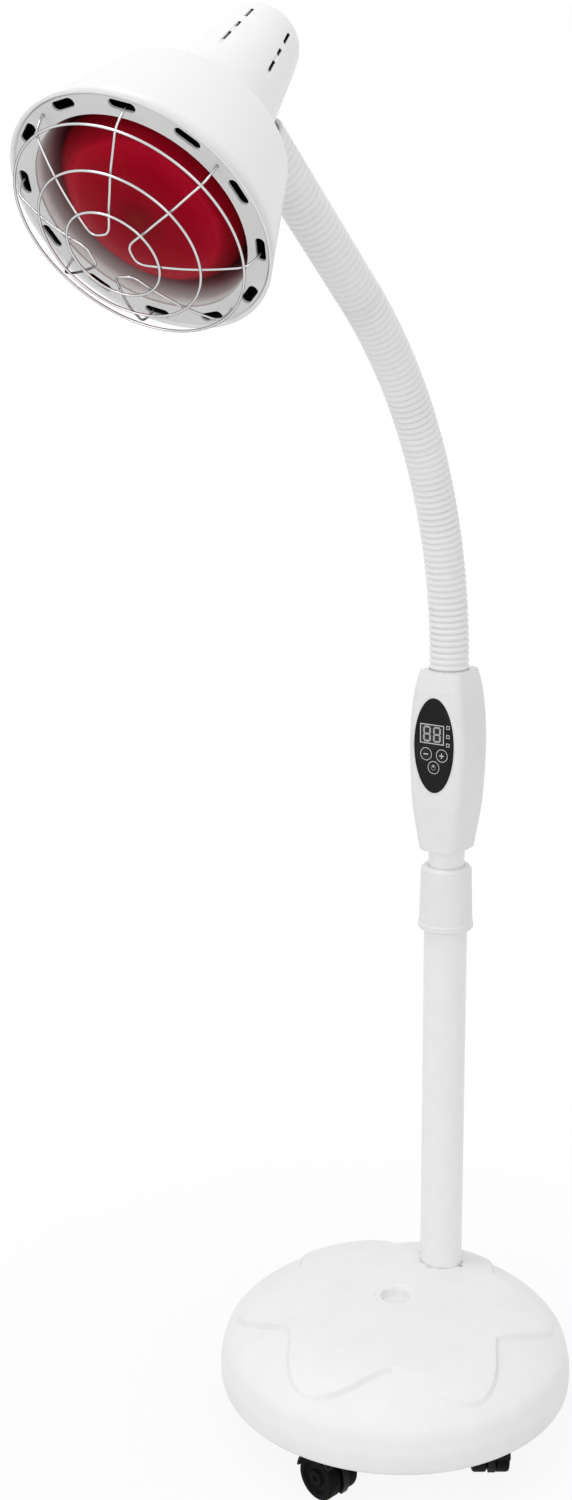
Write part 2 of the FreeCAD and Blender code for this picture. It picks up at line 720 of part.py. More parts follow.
def panel_openings(start, end, clear):
    """Everything that passes through the panel: display, lamps and buttons."""
    shapes = [display_window(clear, start, end)]
    shapes += [along_y(LED_R + clear, LED_X, box_z(PANEL_RISE + up), start, end) for up in LED_UPS]
    for name, x, up in BUTTON_PLACES:
        shapes.append(along_y(BUTTON_R + clear, x, box_z(PANEL_RISE + up), start, end))
    return shapes


def box_shells():
    whole = box_body(0, 0)
    half_space = vec(BEYOND, BEYOND, 0)
    room = box_body(BOX_WALL, BOX_FRONT_WALL)
    room = room.common(box(on_pole(box_z(BOX_SLEEVE)) - half_space, on_pole(neck_seat_z()) + half_space))
    split = POLE_Y + BOX_SPLIT
    ahead = box(vec(-BEYOND, split - BEYOND, 0), vec(BEYOND, split, box_z(BEYOND)))
    behind = box(vec(-BEYOND, split, 0), vec(BEYOND, split + BEYOND, box_z(BEYOND)))
    tube_hole = rod(INNER_R + PRESS, on_pole(box_z(-5)), on_pole(box_z(BOX_SLEEVE + 1)))
    neck_hole = rod(NECK_R + PRESS, on_pole(neck_seat_z() - 1), on_pole(box_z(BOX_HEIGHT + 5)))
    shell = whole.cut(room).cut(tube_hole).cut(neck_hole)
    front = shell.common(ahead)
    board_y = front_y(BOARD_BACK)
    for x, z in board_post_places():
        front = front.fuse(along_y(POST_R, x, z, front_y(BOX_FRONT_WALL - 0.5), board_y).common(whole))
    for x, z in box_screw_places():
        front = front.fuse(along_y(BOX_BOSS_R, x, z, front_y(0.5), split).common(room))
    front = front.cut(oval(PANEL_HALF_X, PANEL_HALF_Z, front_y(-1), front_y(PANEL_RECESS)))
    for opening in panel_openings(front_y(-1), front_y(BOX_FRONT_WALL + 1), SEAT):
        front = front.cut(opening)
    for x, z in board_post_places():
        front = front.cut(along_y(BOARD_SCREW_R + PRESS, x, z, board_y - 4, board_y + 1))
    for x, z in box_screw_places():
        front = front.cut(along_y(BOX_SCREW_R + PRESS, x, z, split - 12, split + 1))
    back = shell.common(behind)
    for x, z in box_screw_places():
        back = back.fuse(along_y(BOX_BOSS_R, x, z, split, split + 40).common(room))
    for x, z in box_screw_places():
        back = back.cut(along_y(BOX_SCREW_R + PRESS, x, z, split - 1, split + 60))
        back = back.cut(along_y(2.8, x, z, screw_seat_y(), split + 60))
    back = back.fuse(module_pad().common(whole))
    level = box_z(CLAMP_SCREW_RISE)
    back = back.cut(along_y(CLAMP_SCREW_R + PRESS, 0, level, split, split + 60))
    back = back.cut(along_y(GLAND_R + PRESS, 0, box_z(GLAND_RISE), split, split + 60))
    export("box_front", front.removeSplitter())
    export("box_back", back.removeSplitter())


def back_y():
    """The box's rear face along its flat stretch."""
    return POLE_Y + BOX_HALF_Y[1]


def neck_seat_z():
    """The underside of the box's solid head, where the gooseneck's foot is held."""
    return box_z(BOX_HEIGHT - BOX_NECK_SEAT)


def screw_seat_y():
    return back_y() - 5.0


def module_y():
    return back_y() - BOX_WALL - 2.0 - MODULE[1]


def module_pad():
    """Pad on the back shell's inner wall that carries the power module."""
    z = box_z(MODULE_RISE)
    start = vec(-MODULE[0] / 2 + 4, module_y() + MODULE[1], z + 4)
    return box(start, vec(MODULE[0] / 2 - 4, back_y() - 1, z + MODULE[2] - 4))


def box_contents():
    face = front_y(PANEL_RECESS - PANEL_T)
    panel = oval(PANEL_HALF_X - SEAT, PANEL_HALF_Z - SEAT, face, front_y(PANEL_RECESS))
    for opening in panel_openings(front_y(-1), front_y(5), SEAT):
        panel = panel.cut(opening)
    export("panel", panel)
    board_front = front_y(BOARD_BACK)
    export("display", display_window(0, face, board_front))
    lamps = [along_y(LED_R, LED_X, box_z(PANEL_RISE + up), face, board_front) for up in LED_UPS]
    export("indicator_lamps", *lamps)
    centre = box_z(PANEL_RISE)
    board = box(
        vec(-BOARD_HALF_X, board_front, centre - BOARD_HALF_Z),
        vec(BOARD_HALF_X, board_front + BOARD_T, centre + BOARD_HALF_Z),
    )
    screws = []
    for x, z in board_post_places():
        board = board.cut(along_y(BOARD_SCREW_R + PRESS, x, z, board_front - 1, board_front + BOARD_T + 1))
        seat = vec(x, board_front + BOARD_T, z)
        screws.append(bolt(BOARD_SCREW_R, 2.0, 1.2, seat, vec(x, board_front - 3, z)))
    export("circuit_board", board, *buttons_and_switches(board_front))
    export("board_screws", *screws)
    low = vec(-MODULE[0] / 2, module_y(), box_z(MODULE_RISE))
    export("power_module", box(low, low + vec(*MODULE)))
    screws = []
    for x, z in box_screw_places():
        seat = vec(x, screw_seat_y(), z)
        screws.append(bolt(BOX_SCREW_R, 2.6, 1.8, seat, vec(x, POLE_Y + BOX_SPLIT - 10, z)))
    export("box_screws", *screws)
    level = box_z(CLAMP_SCREW_RISE)
    share = (CLAMP_SCREW_RISE + CLAMP_SCREW_R) / BOX_FLAT[0]
    wall_y = BOX_HALF_Y[0] + share * (BOX_HALF_Y[1] - BOX_HALF_Y[0])
    tip = on_pole(level, INNER_R - INNER_WALL - 2)
    export("pole_clamp_screw", bolt(CLAMP_SCREW_R, 3.8, 2.0, on_pole(level, wall_y + SEAT), tip))
    export("cord_gland", cord_gland())


def buttons_and_switches(board_front):
    """Round push buttons with a rear flange behind the front wall; returns the switches under them."""
    rest = front_y(BOX_FRONT_WALL) + 0.1
    flange_back = rest + BUTTON_FLANGE_T
    switches = []
    for name, x, up in BUTTON_PLACES:
        z = box_z(PANEL_RISE + up)
        cap = along_y(BUTTON_R, x, z, front_y(-0.2), rest)
        flange = along_y(BUTTON_R + BUTTON_FLANGE, x, z, rest, flange_back)
        export(name, fused(cap, flange))
        switches.append(along_y(2.6, x, z, flange_back + BUTTON_TRAVEL + 0.1, board_front))
    return switches


def cord_gland():
    """Flanged gland in the box's rear wall, the inlet of the mains cord."""
    z = box_z(GLAND_RISE)
    wall = back_y()
    sleeve = along_y(GLAND_R, 0, z, wall - BOX_WALL - 2.5, wall + GLAND_OUT)
    flange = along_y(GLAND_FLANGE_R, 0, z, wall + PRESS, wall + 2.5)
    bore = along_y(GLAND_BORE_R, 0, z, wall - 20, wall + 40)
    return fused(sleeve, flange).cut(bore)


# ---- Gooseneck
def neck_point(s):
    """The centreline's point and direction at the distance s along it from the box's top."""
    arc = math.radians(NECK_BEND) * NECK_BEND_R
    turn = math.radians(NECK_BEND) * min(s, arc) / arc
    along = vec(0, -math.sin(turn), math.cos(turn))
    point = vec(
        0,
        POLE_Y - NECK_BEND_R * (1 - math.cos(turn)),
        box_z(BOX_HEIGHT) + NECK_BEND_R * math.sin(turn),
    )
    return point + along * max(0.0, s - arc), along


def neck_length():
    return math.radians(NECK_BEND) * NECK_BEND_R + NECK_STRAIGHT


def neck_joints():
    """The joint centres, evenly spaced along the centreline."""
    last = neck_length() - NECK_LAST - 22.0
    step = (last - NECK_FIRST) / (NECK_LINKS - 1)
    return [neck_point(NECK_FIRST + step * i)[0] for i in range(NECK_LINKS)]


def cup(shape, centre):
    """Hollows a link's upper end to take the next link's ball."""
    return shape.cut(Part.makeSphere(NECK_BALL_R + SEAT, centre))


def neck_base():
    """Fixed foot of the gooseneck in the control box's solid head, with a flange inside the box."""
    joint = neck_joints()[0]
    start = on_pole(neck_seat_z() - NECK_FLANGE_T)
    flange = rod(NECK_FLANGE_R, start, on_pole(neck_seat_z()))
    foot = fused(rod(NECK_R, start, on_pole(joint.z - NECK_CUP)), flange)
    foot = foot.cut(rod(NECK_BORE_R, start - vec(0, 0, 1), joint + vec(0, 0, 5)))
    return cup(foot, joint)


def neck_links():
    """Rigid links with a ball below and a cup above, which together bend as the hose does."""
    joints = neck_joints()
    end, along = neck_point(neck_length() - NECK_LAST)
    for number, joint in enumerate(joints, 1):
        is_last = number == len(joints)
        target = end if is_last else joints[number]
        run = (target - joint).normalize()
        stop = target if is_last else target - run * NECK_CUP
        link = rod(NECK_R, joint + run * NECK_SHOULDER, stop)
        waist = Part.makeCone(NECK_BALL_R * 0.985, NECK_R, NECK_SHOULDER, joint, run)
        link = fused(link, waist, Part.makeSphere(NECK_BALL_R, joint))
        link = link.cut(rod(NECK_BORE_R, joint - run * (NECK_BALL_R + 1), stop + run))
        if not is_last:
            link = cup(link, target)
        export("neck_link_%d" % number, link)


def neck_ferrule():
    """End fitting pressed on the hose, with the flat tongue of the tilt knuckle."""
    start, along = neck_point(neck_length() - NECK_LAST)
    bolt_at = neck_point(neck_length())[0]
    side = vec(1, 0, 0)
    body = Part.makeCone(NECK_R, FERRULE_R, FERRULE_T, start, along)
    stem = rod(9.0, start + along * FERRULE_T, start + along * (NECK_LAST - TONGUE_R - 6))
    across = along.cross(side)
    low = start + along * (FERRULE_T - 1)
    tongue = Part.makeBox(2 * TONGUE_HALF_X, 2 * TONGUE_R, NECK_LAST - FERRULE_T + 1)
    tongue.Placement = FreeCAD.Placement(
        low - side * TONGUE_HALF_X - across * TONGUE_R, FreeCAD.Rotation(side, across, along, "ZXY")
    )
    eye = rod(TONGUE_R, bolt_at - side * TONGUE_HALF_X, bolt_at + side * TONGUE_HALF_X)
    ferrule = fused(body, stem, tongue, eye)
    hole = rod(TILT_BOLT_R + RUN, bolt_at - side * 40, bolt_at + side * 40)
    return ferrule.cut(hole)


# ---- Lamp head, built on its own axis with the mouth looking down, then tilted into place
def placed(shape):
    """Moves a head piece from its own frame (rim centre at the origin, +Z to the back) to the lamp."""
    copy = shape.copy()
    copy.rotate(vec(0, 0, 0), vec(1, 0, 0), HEAD_DROP - 90.0)
    back = vec(0, math.cos(math.radians(HEAD_DROP)), math.sin(math.radians(HEAD_DROP)))
    out = vec(0, back.z, -back.y)
    copy.translate(neck_point(neck_length())[0] - back * KNUCKLE_UP - out * KNUCKLE_OUT)
    return copy


def neck_cone_r(back):
    """The outer radius of the hood's slotted neck at a distance behind the rim plane."""
    share = (back - HOOD_NECK_BACK) / (HOOD_NECK_END - HOOD_NECK_BACK)
    return HOOD_NECK_R + (HOOD_NECK_END_R - HOOD_NECK_R) * share


def hood_inner_r(back):
    """The hood's inner radius between its rim and its shoulder."""
    return HOOD_RIM_R - HOOD_WALL - (HOOD_RIM_R - SHOULDER_R) * back / SHOULDER_BACK


def hood_profile(shift):
    """The hood's outer line, or its inner line for a shift of the wall's thickness."""
    rim = HOOD_RIM_R - shift
    shoulder = SHOULDER_R - shift
    fall = (rim - shoulder) / SHOULDER_BACK
    top = SHOULDER_BACK + SHOULDER_ROUND - shift
    neck = HOOD_NECK_R - shift
    end = HOOD_NECK_END_R - shift
    crown = (
        (shoulder - 0.3 * SHOULDER_ROUND - fall, SHOULDER_BACK + 0.66 * (SHOULDER_ROUND - shift)),
        (shoulder - 0.95 * SHOULDER_ROUND, top - 0.6),
        (neck + 6, top + 1.2),
        (neck, HOOD_NECK_BACK),
    )
    dome = HOOD_END - shift
    return [
        (rim, 0),
        (shoulder, SHOULDER_BACK),
        crown,
        (end, HOOD_NECK_END),
        ((end - 4.5, HOOD_NECK_END + 0.62 * (dome - HOOD_NECK_END)), (end - 14, dome)),
        (0, dome),
    ]


def hood():
    outer = hood_profile(0)
    inner = hood_profile(HOOD_WALL)
    body = turned(outer[0], *outer[1:], (0, 0))
    room = turned((0, -1), (inner[0][0], -1), inner[0], *inner[1:])
    shell = body.cut(room)
    ledge_r = hood_inner_r(LEDGE_BACK) - LEDGE
    ledge = pipe(HOOD_RIM_R - 1, ledge_r, vec(0, 0, LEDGE_BACK), vec(0, 0, LEDGE_BACK + 1.6))
    shell = shell.fuse(ledge.common(body))
    for turn in around(SLOT_ROWS, SLOT_TURN):
        for start, end in SLOTS:
            slot = box(vec(15, -SLOT_WIDTH / 2, start), vec(60, SLOT_WIDTH / 2, end))
            shell = shell.cut(spun(slot, turn))
    for sign in (-1, 1):
        shell = shell.cut(bracket_screw_hole(sign))
    return shell.removeSplitter()


def bracket_screw_hole(sign, radius=BRACKET_SCREW_R + PRESS):
    z = KNUCKLE_UP + sign * (BRACKET_HALF_UP - 4)
    return rod(radius, vec(0, 15, z), vec(0, 60, z))


def hood_bracket():
    """Pad on the hood's neck with two ears that take the tilt bolt."""
    ear_in = TONGUE_HALF_X + SEAT
    ear_out = ear_in + EAR_T
    pad = box(
        vec(-ear_out, 20, KNUCKLE_UP - BRACKET_HALF_UP),
        vec(ear_out, neck_cone_r(KNUCKLE_UP) + BRACKET_T, KNUCKLE_UP + BRACKET_HALF_UP),
    )
    ears = []
    for sign in (-1, 1):
        low, high = sorted((sign * ear_in, sign * ear_out))
        ears.append(box(vec(low, 20, KNUCKLE_UP - TONGUE_R), vec(high, KNUCKLE_OUT, KNUCKLE_UP + TONGUE_R)))
        ears.append(rod(TONGUE_R, vec(low, KNUCKLE_OUT, KNUCKLE_UP), vec(high, KNUCKLE_OUT, KNUCKLE_UP)))
    bracket = fused(pad, *ears)
    low, high = KNUCKLE_UP - 40, KNUCKLE_UP + 40
    slope = Part.makeCone(neck_cone_r(low) + PRESS, neck_cone_r(high) + PRESS, high - low, vec(0, 0, low))
    bracket = bracket.cut(slope)
    hole = rod(TILT_BOLT_R + PRESS, vec(-30, KNUCKLE_OUT, KNUCKLE_UP), vec(30, KNUCKLE_OUT, KNUCKLE_UP))
    bracket = bracket.cut(hole)
    swing = rod(TONGUE_R + 1, vec(-ear_in, KNUCKLE_OUT, KNUCKLE_UP), vec(ear_in, KNUCKLE_OUT, KNUCKLE_UP))
    bracket = bracket.cut(swing)
    for sign in (-1, 1):
        bracket = bracket.cut(bracket_screw_hole(sign))
    return bracket


def knuckle_fasteners():
    pad_top = neck_cone_r(KNUCKLE_UP) + BRACKET_T
    screws = []
    for sign in (-1, 1):
        z = KNUCKLE_UP + sign * (BRACKET_HALF_UP - 4)
        screws.append(bolt(BRACKET_SCREW_R, 2.8, 1.6, vec(0, pad_top, z), vec(0, neck_cone_r(z) - 5, z)))
    export("bracket_screws", *[placed(screw) for screw in screws])
    outside = TONGUE_HALF_X + SEAT + EAR_T
    seat = vec(-outside, KNUCKLE_OUT, KNUCKLE_UP)
    far = vec(outside, KNUCKLE_OUT, KNUCKLE_UP)
    screw = bolt(TILT_BOLT_R, TILT_HEAD_R, TILT_HEAD_T, seat, far + vec(TILT_NUT_T + 1, 0, 0))
    nut = pipe(TILT_HEAD_R, TILT_BOLT_R + PRESS, far, far + vec(TILT_NUT_T, 0, 0))
    export("tilt_bolt", placed(screw), placed(nut))


def vent_ring():
    """Flat ring in the hood's mouth with the obround vents and two sizes of wire seats."""
    front = LEDGE_BACK - VENT_RING_T
    outer = hood_inner_r(LEDGE_BACK) - SEAT
    ring = pipe(outer, OPENING_R, vec(0, 0, front), vec(0, 0, LEDGE_BACK))
    half = (VENT_LENGTH - VENT_WIDTH) / 2
    for turn in around(VENTS, VENT_TURN):
        slot = box(vec(VENT_R - VENT_WIDTH / 2, -half, -1), vec(VENT_R + VENT_WIDTH / 2, half, 5))
        ends = [vec(VENT_R, side * half, -1) for side in (-1, 1)]
        slot = fused(slot, *[rod(VENT_WIDTH / 2, end, end + vec(0, 0, 6)) for end in ends])
        ring = ring.cut(spun(slot, turn))
    for middle in around(GUARD_LEGS):
        for turn in (middle - GUARD_LEG_TURN, middle + GUARD_LEG_TURN):
            start = polar(GUARD_HOOK_R, turn, -1)
            ring = ring.cut(rod(GUARD_LEG_R + 0.15, start, start + vec(0, 0, 8)))
    return ring


def reflector():
    """Spun cone between the opening and the hood's neck, round the bulb."""
    t = REFLECTOR_T
    front = LEDGE_BACK
    lip = VENT_R - VENT_WIDTH / 2 - SEAT
    rear_r = HOOD_NECK_R - HOOD_WALL - SEAT
    rear = SHOULDER_BACK + SHOULDER_ROUND - HOOD_WALL - 1.5
    return turned(
        (OPENING_R, front),
        (lip, front),
        (lip, front + t),
        (OPENING_R + t, front + t),
        ((0.5 * (OPENING_R + rear_r) + 9, 0.5 * rear), (rear_r + t, rear)),
        (rear_r, rear),
        ((0.5 * (OPENING_R + rear_r) + 9 - t, 0.5 * rear - t), (OPENING_R, front)),
    )


def bulb_outline(shift):
    """The reflector bulb's line from its face to its neck, moved inwards by shift."""
    r = BULB_R - shift
    neck = BULB_NECK_R - shift
    return [
        (0, BULB_FRONT + shift),
        ((0.45 * r, BULB_FRONT + shift + 1.6), (0.82 * r, BULB_FRONT + shift + 7)),
        ((0.962 * r, BULB_FRONT + shift + 14), (r, BULB_WIDEST + 2)),
        ((0.935 * r, BULB_WIDEST + 17), (0.8 * r, BULB_WIDEST + 30)),
        (neck + 4, BULB_NECK - 8),
        ((neck + 1.1, BULB_NECK - 3.5), (neck, BULB_NECK + 2)),
        (neck, CAP_START - 2),
        (CAP_R - shift, CAP_START + 3),
    ]


def bulb():
    outer = bulb_outline(0)
    inner = bulb_outline(BULB_GLASS)
    end = CAP_START + 3
    glass = turned(outer[0], *outer[1:], (0, end)).cut(turned(inner[0], *inner[1:], (0, end + 0.01)))
    export("bulb_glass", placed(glass))
    cap = rod(CAP_R + 0.4, vec(0, 0, CAP_START + 3), vec(0, 0, CAP_END))
    tip = rod(CAP_TIP_R, vec(0, 0, CAP_END), vec(0, 0, CAP_END + CAP_TIP_T))
    export("bulb_cap", placed(fused(cap, tip)))
    stem = Part.makeCone(7.0, 3.0, 45, vec(0, 0, CAP_START + 3), vec(0, 0, -1))
    lead_end = CAP_START - 60
    leads = [rod(0.7, vec(sign * 2, 0, CAP_START - 40), vec(sign * 11, 0, lead_end)) for sign in (-1, 1)]
    filament = rod(1.0, vec(-12, 0, lead_end), vec(12, 0, lead_end))
    export("bulb_filament", placed(fused(stem, filament, *leads)))


def lamp_holder():
    """Ceramic holder round the bulb's cap, and the strap that fixes it in the hood's neck."""
    holder = rod(HOLDER_R, vec(0, 0, HOLDER_START), vec(0, 0, HOLDER_END))
    deep = CAP_END + CAP_TIP_T + SEAT
    holder = holder.cut(rod(CAP_R + 0.4 + PRESS, vec(0, 0, HOLDER_START - 1), vec(0, 0, deep)))
    for sign in (-1, 1):
        place = vec(0, sign * HOLDER_SCREW_Y, HOLDER_END)
        holder = holder.cut(rod(HOLDER_SCREW_R + PRESS, place - vec(0, 0, HOLDER_SCREW_DEPTH), place))
    export("lamp_holder", placed(holder))
    strap_r = neck_cone_r(HOLDER_END + STRAP_T) - HOOD_WALL - 0.25
    strap = rod(strap_r, vec(0, 0, HOLDER_END), vec(0, 0, HOLDER_END + STRAP_T))
    strap = strap.common(box(vec(-STRAP_HALF_X, -BEYOND, 0), vec(STRAP_HALF_X, BEYOND, BEYOND)))
    for sign in (-1, 1):
        place = vec(0, sign * HOLDER_SCREW_Y, HOLDER_END)
        strap = strap.cut(rod(HOLDER_SCREW_R + PRESS, place, place + vec(0, 0, STRAP_T)))
    export("holder_strap", placed(strap))
    screws = []
    for sign in (-1, 1):
        seat = vec(0, sign * HOLDER_SCREW_Y, HOLDER_END + STRAP_T)
        tip = seat - vec(0, 0, STRAP_T + HOLDER_SCREW_DEPTH - 1)
        screws.append(bolt(HOLDER_SCREW_R, 2.8, 1.6, seat, tip))
    export("holder_screws", *[placed(screw) for screw in screws])


def wire(radius, points):
    """A bent wire: round bars along the points, with a ball in each bend."""
    bars = [rod(radius, a, b) for a, b in zip(points, points[1:])]
    balls = [Part.makeSphere(radius, p) for p in points[1:-1]]
    return fused(bars[0], *bars[1:], *balls)


def wire_guard():
    rings = [Part.makeTorus(radius, GUARD_WIRE_R, vec(0, 0, -height)) for radius, height in GUARD_RINGS]
    export("guard_rings", *[placed(ring) for ring in rings])
    leg = [(GUARD_HOOK_R, GUARD_HOOK), (GUARD_HOOK_R, -2.0)]
    leg += [(radius, GUARD_CROSS - height) for radius, height in GUARD_RINGS]
    leg += [(GUARD_TURN_R + 4, GUARD_CROSS - GUARD_RINGS[-1][1] - 2.6)]
    half = []
    for radius, back in leg:
        half.append(polar(radius, GUARD_LEG_TURN, back))
    turn_back = leg[-1][1] - 0.6
    bend = [polar(GUARD_TURN_R, turn, turn_back) for turn in (16.0, 0.0)]
    mirrored = [vec(p.x, -p.y, p.z) for p in reversed(half + bend[:1])]
    path = half + bend + mirrored
    wires = [placed(spun(wire(GUARD_LEG_R, path), turn)) for turn in around(GUARD_LEGS)]
    export("guard_wires", *wires)


def build():
    os.makedirs("parts", exist_ok=True)
    export("base_cover", base_cover())
    export("base_plate", base_plate())
    export("counterweight", counterweight())
    base_fasteners()
    export("pole_socket", pole_socket())
    export("pole_set_screw", set_screw())
    casters()
    export("outer_pole", outer_pole())
    export("guide_bush", guide_bush())
    export("lock_collar", lock_collar())
    export("inner_pole", inner_pole())
    export("inner_pole_foot", inner_pole_foot())
    box_shells()
    box_contents()
    export("neck_base", neck_base())
    neck_links()
    export("neck_ferrule", neck_ferrule())
    export("hood", placed(hood()))
    export("hood_bracket", placed(hood_bracket()))
    knuckle_fasteners()
    export("vent_ring", placed(vent_ring()))
    export("reflector", placed(reflector()))
    bulb()
    lamp_holder()
    wire_guard()


build()
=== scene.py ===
import json
import logging
import math
from collections.abc import Sequence
from dataclasses import dataclass, field
from enum import Enum
from functools import cache
from typing import Any

import bmesh
import bpy
import numpy as np
from mathutils import Matrix, Vector


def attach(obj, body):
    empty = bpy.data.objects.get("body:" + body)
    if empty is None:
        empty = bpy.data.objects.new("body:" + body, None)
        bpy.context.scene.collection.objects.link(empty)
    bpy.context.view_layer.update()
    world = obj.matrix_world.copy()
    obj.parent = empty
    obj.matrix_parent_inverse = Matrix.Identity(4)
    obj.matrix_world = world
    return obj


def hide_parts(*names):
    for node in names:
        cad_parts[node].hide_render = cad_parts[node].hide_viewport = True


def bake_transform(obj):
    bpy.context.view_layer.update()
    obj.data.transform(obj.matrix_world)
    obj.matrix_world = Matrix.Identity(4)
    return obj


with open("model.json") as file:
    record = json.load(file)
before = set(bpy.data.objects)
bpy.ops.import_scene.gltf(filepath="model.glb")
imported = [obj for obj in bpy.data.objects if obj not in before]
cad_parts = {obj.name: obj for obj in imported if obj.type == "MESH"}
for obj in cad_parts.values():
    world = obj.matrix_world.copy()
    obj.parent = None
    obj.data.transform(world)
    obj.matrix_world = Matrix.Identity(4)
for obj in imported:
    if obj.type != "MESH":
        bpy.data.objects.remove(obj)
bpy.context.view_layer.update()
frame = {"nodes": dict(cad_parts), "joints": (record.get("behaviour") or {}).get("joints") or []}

LOG = logging.getLogger("heat_lamp")
Array = np.ndarray
Reals = np.ndarray | float
Piece = bpy.types.Object
Socket = bpy.types.NodeSocket
Group = bpy.types.NodeTree
Colour = tuple[float, float, float]
Place = tuple[float, float, float]
Outline = tuple[tuple[float, float], ...]
MM = 0.001


# ---- surfaces
def around(count: int) -> Array:
    """That many angles round a circle, from 0 on."""
    return np.linspace(0, 2 * np.pi, count, endpoint=False)


def linked(name: str, data: Any) -> Piece:
    """Makes an object of a mesh, a light or a camera and puts it in the scene.

    Args:
        name: the object's name.
        data: what it shows.

    Returns:
        The object.
    """
    made = bpy.data.objects.new(name, data)
    bpy.context.scene.collection.objects.link(made)
    return made


def grid_quads(rows: int, cols: int, wrap: bool = False) -> Array:
    """Quads between rings of points: each point with the next in its ring and in the next ring.

    Args:
        rows: number of rings.
        cols: points in a ring, which closes on itself.
        wrap: joins the last ring to the first.

    Returns:
        An (n, 4) array of point numbers.
    """
    i, j = np.meshgrid(np.arange(rows if wrap else rows - 1), np.arange(cols), indexing="ij")
    i2, j2 = (i + 1) % rows, (j + 1) % cols
    return np.stack([i * cols + j, i * cols + j2, i2 * cols + j2, i2 * cols + j], -1).reshape(-1, 4)


def mesh_of(name: str, points: Array, faces: Any, material: bpy.types.Material) -> bpy.types.Mesh:
    """Makes a mesh in one material.

    Args:
        name: its name.
        points: (..., 3) array in metres, in the lamp's frame.
        faces: quads as an array, or a list of faces.
        material: its material.

    Returns:
        The mesh.
    """
    mesh = bpy.data.meshes.new(name)
    faces = faces.tolist() if isinstance(faces, np.ndarray) else faces
    mesh.from_pydata(points.reshape(-1, 3).tolist(), [], faces)
    mesh.materials.append(material)
    return mesh


def new_piece(name: str, points: Array, faces: Any, finish: "Finish", flat: bool = False) -> Piece:
    """Makes a finished mesh: doubles merged, faces outwards, one material.

    Args:
        name: the piece's name.
        points, faces: as for mesh_of.
        finish: what the piece is made of.
        flat: leaves the faces unsmoothed.

    Returns:
        The object, linked to the scene.
    """
    mesh = mesh_of(name, points, faces, finish.material())
    tidy(mesh)
    mesh.polygons.foreach_set("use_smooth", [not flat] * len(mesh.polygons))
    return linked(name, mesh)


def tidy(mesh: bpy.types.Mesh) -> None:
    """Merges doubles, drops empty faces and turns every face outwards.

    Args:
        mesh: the mesh that is changed.
    """
    work = bmesh.new()
    work.from_mesh(mesh)
    bmesh.ops.remove_doubles(work, verts=work.verts, dist=1e-7)
    bmesh.ops.dissolve_degenerate(work, edges=work.edges, dist=1e-8)
    bmesh.ops.recalc_face_normals(work, faces=work.faces)
    work.to_mesh(mesh)
    work.free()


def carve(piece: Piece, cutter: Piece) -> None:
    """Cuts one closed mesh out of another and discards the cutter.

    Args:
        piece: what is cut.
        cutter: the room that is taken away.
    """
    cut = piece.modifiers.new("cut", "BOOLEAN")
    cut.operation = "DIFFERENCE"
    cut.solver = "EXACT"
    cut.object = cutter
    bpy.context.view_layer.update()
    shape = bpy.data.meshes.new_from_object(piece.evaluated_get(bpy.context.evaluated_depsgraph_get()))
    piece.modifiers.clear()
    piece.data = shape
    bpy.data.objects.remove(cutter)


@dataclass(frozen=True)
class Frame3:
    """A place and three axes: a turned profile runs round the third, which is its height.

    Attributes:
        origin: the place of radius 0, height 0, in metres.
        across, out, up: unit vectors.
    """

    origin: Place
    across: Place = (1.0, 0.0, 0.0)
    out: Place = (0.0, 1.0, 0.0)
    up: Place = (0.0, 0.0, 1.0)

    def at(self, x: Reals, y: Reals, z: Reals) -> Array:
        """Points of this frame: origin + x across + y out + z up.

        Args:
            x, y, z: coordinates, as numbers or as arrays whose shapes fit together.

        Returns:
            The points, as (..., 3).
        """
        x, y, z = np.broadcast_arrays(x, y, z)
        across, out, up = (np.asarray(axis, float) for axis in (self.across, self.out, self.up))
        return np.asarray(self.origin) + x[..., None] * across + y[..., None] * out + z[..., None] * up

    def polar(self, r: Reals, angle: Reals, z: Reals) -> Array:
        """Points at a radius, an angle and a height: x = r cos a, y = r sin a."""
        return self.at(r * np.cos(angle), r * np.sin(angle), z)


def revolve(
    name: str, profile: Array, finish: "Finish", place: Frame3, turns: int = 96, loop: bool = True
) -> Piece:
    """A turned piece: every profile point (radius, height) runs once round the frame's third axis.

    Args:
        name, finish: as for new_piece.
        profile: (n, 2) radius and height in metres.
        place: where and which way up it stands.
        turns: steps of the circle.
        loop: joins the profile's last point to its first.

    Returns:
        The object.
    """
    points = place.polar(profile[:, :1], around(turns)[None, :], profile[:, 1:2])
    return new_piece(name, points, grid_quads(len(profile), turns, loop), finish)


def softened(points: Any, rounds: int) -> Array:
    """Cuts the corners of a line again and again: each time, each edge keeps its middle half.

    Args:
        points: (n, d) corner points.
        rounds: how many times.

    Returns:
        The smoother line, which keeps its two ends.
    """
    line = np.asarray(points, float)
    for _ in range(rounds):
        here, after = line[:-1], line[1:]
        near, far = here + (after - here) * 0.25, after + (here - after) * 0.25
        cut = np.stack([near, far], 1).reshape(-1, line.shape[1])
        line = np.concatenate([line[:1], cut[1:-1], line[-1:]])
    return line


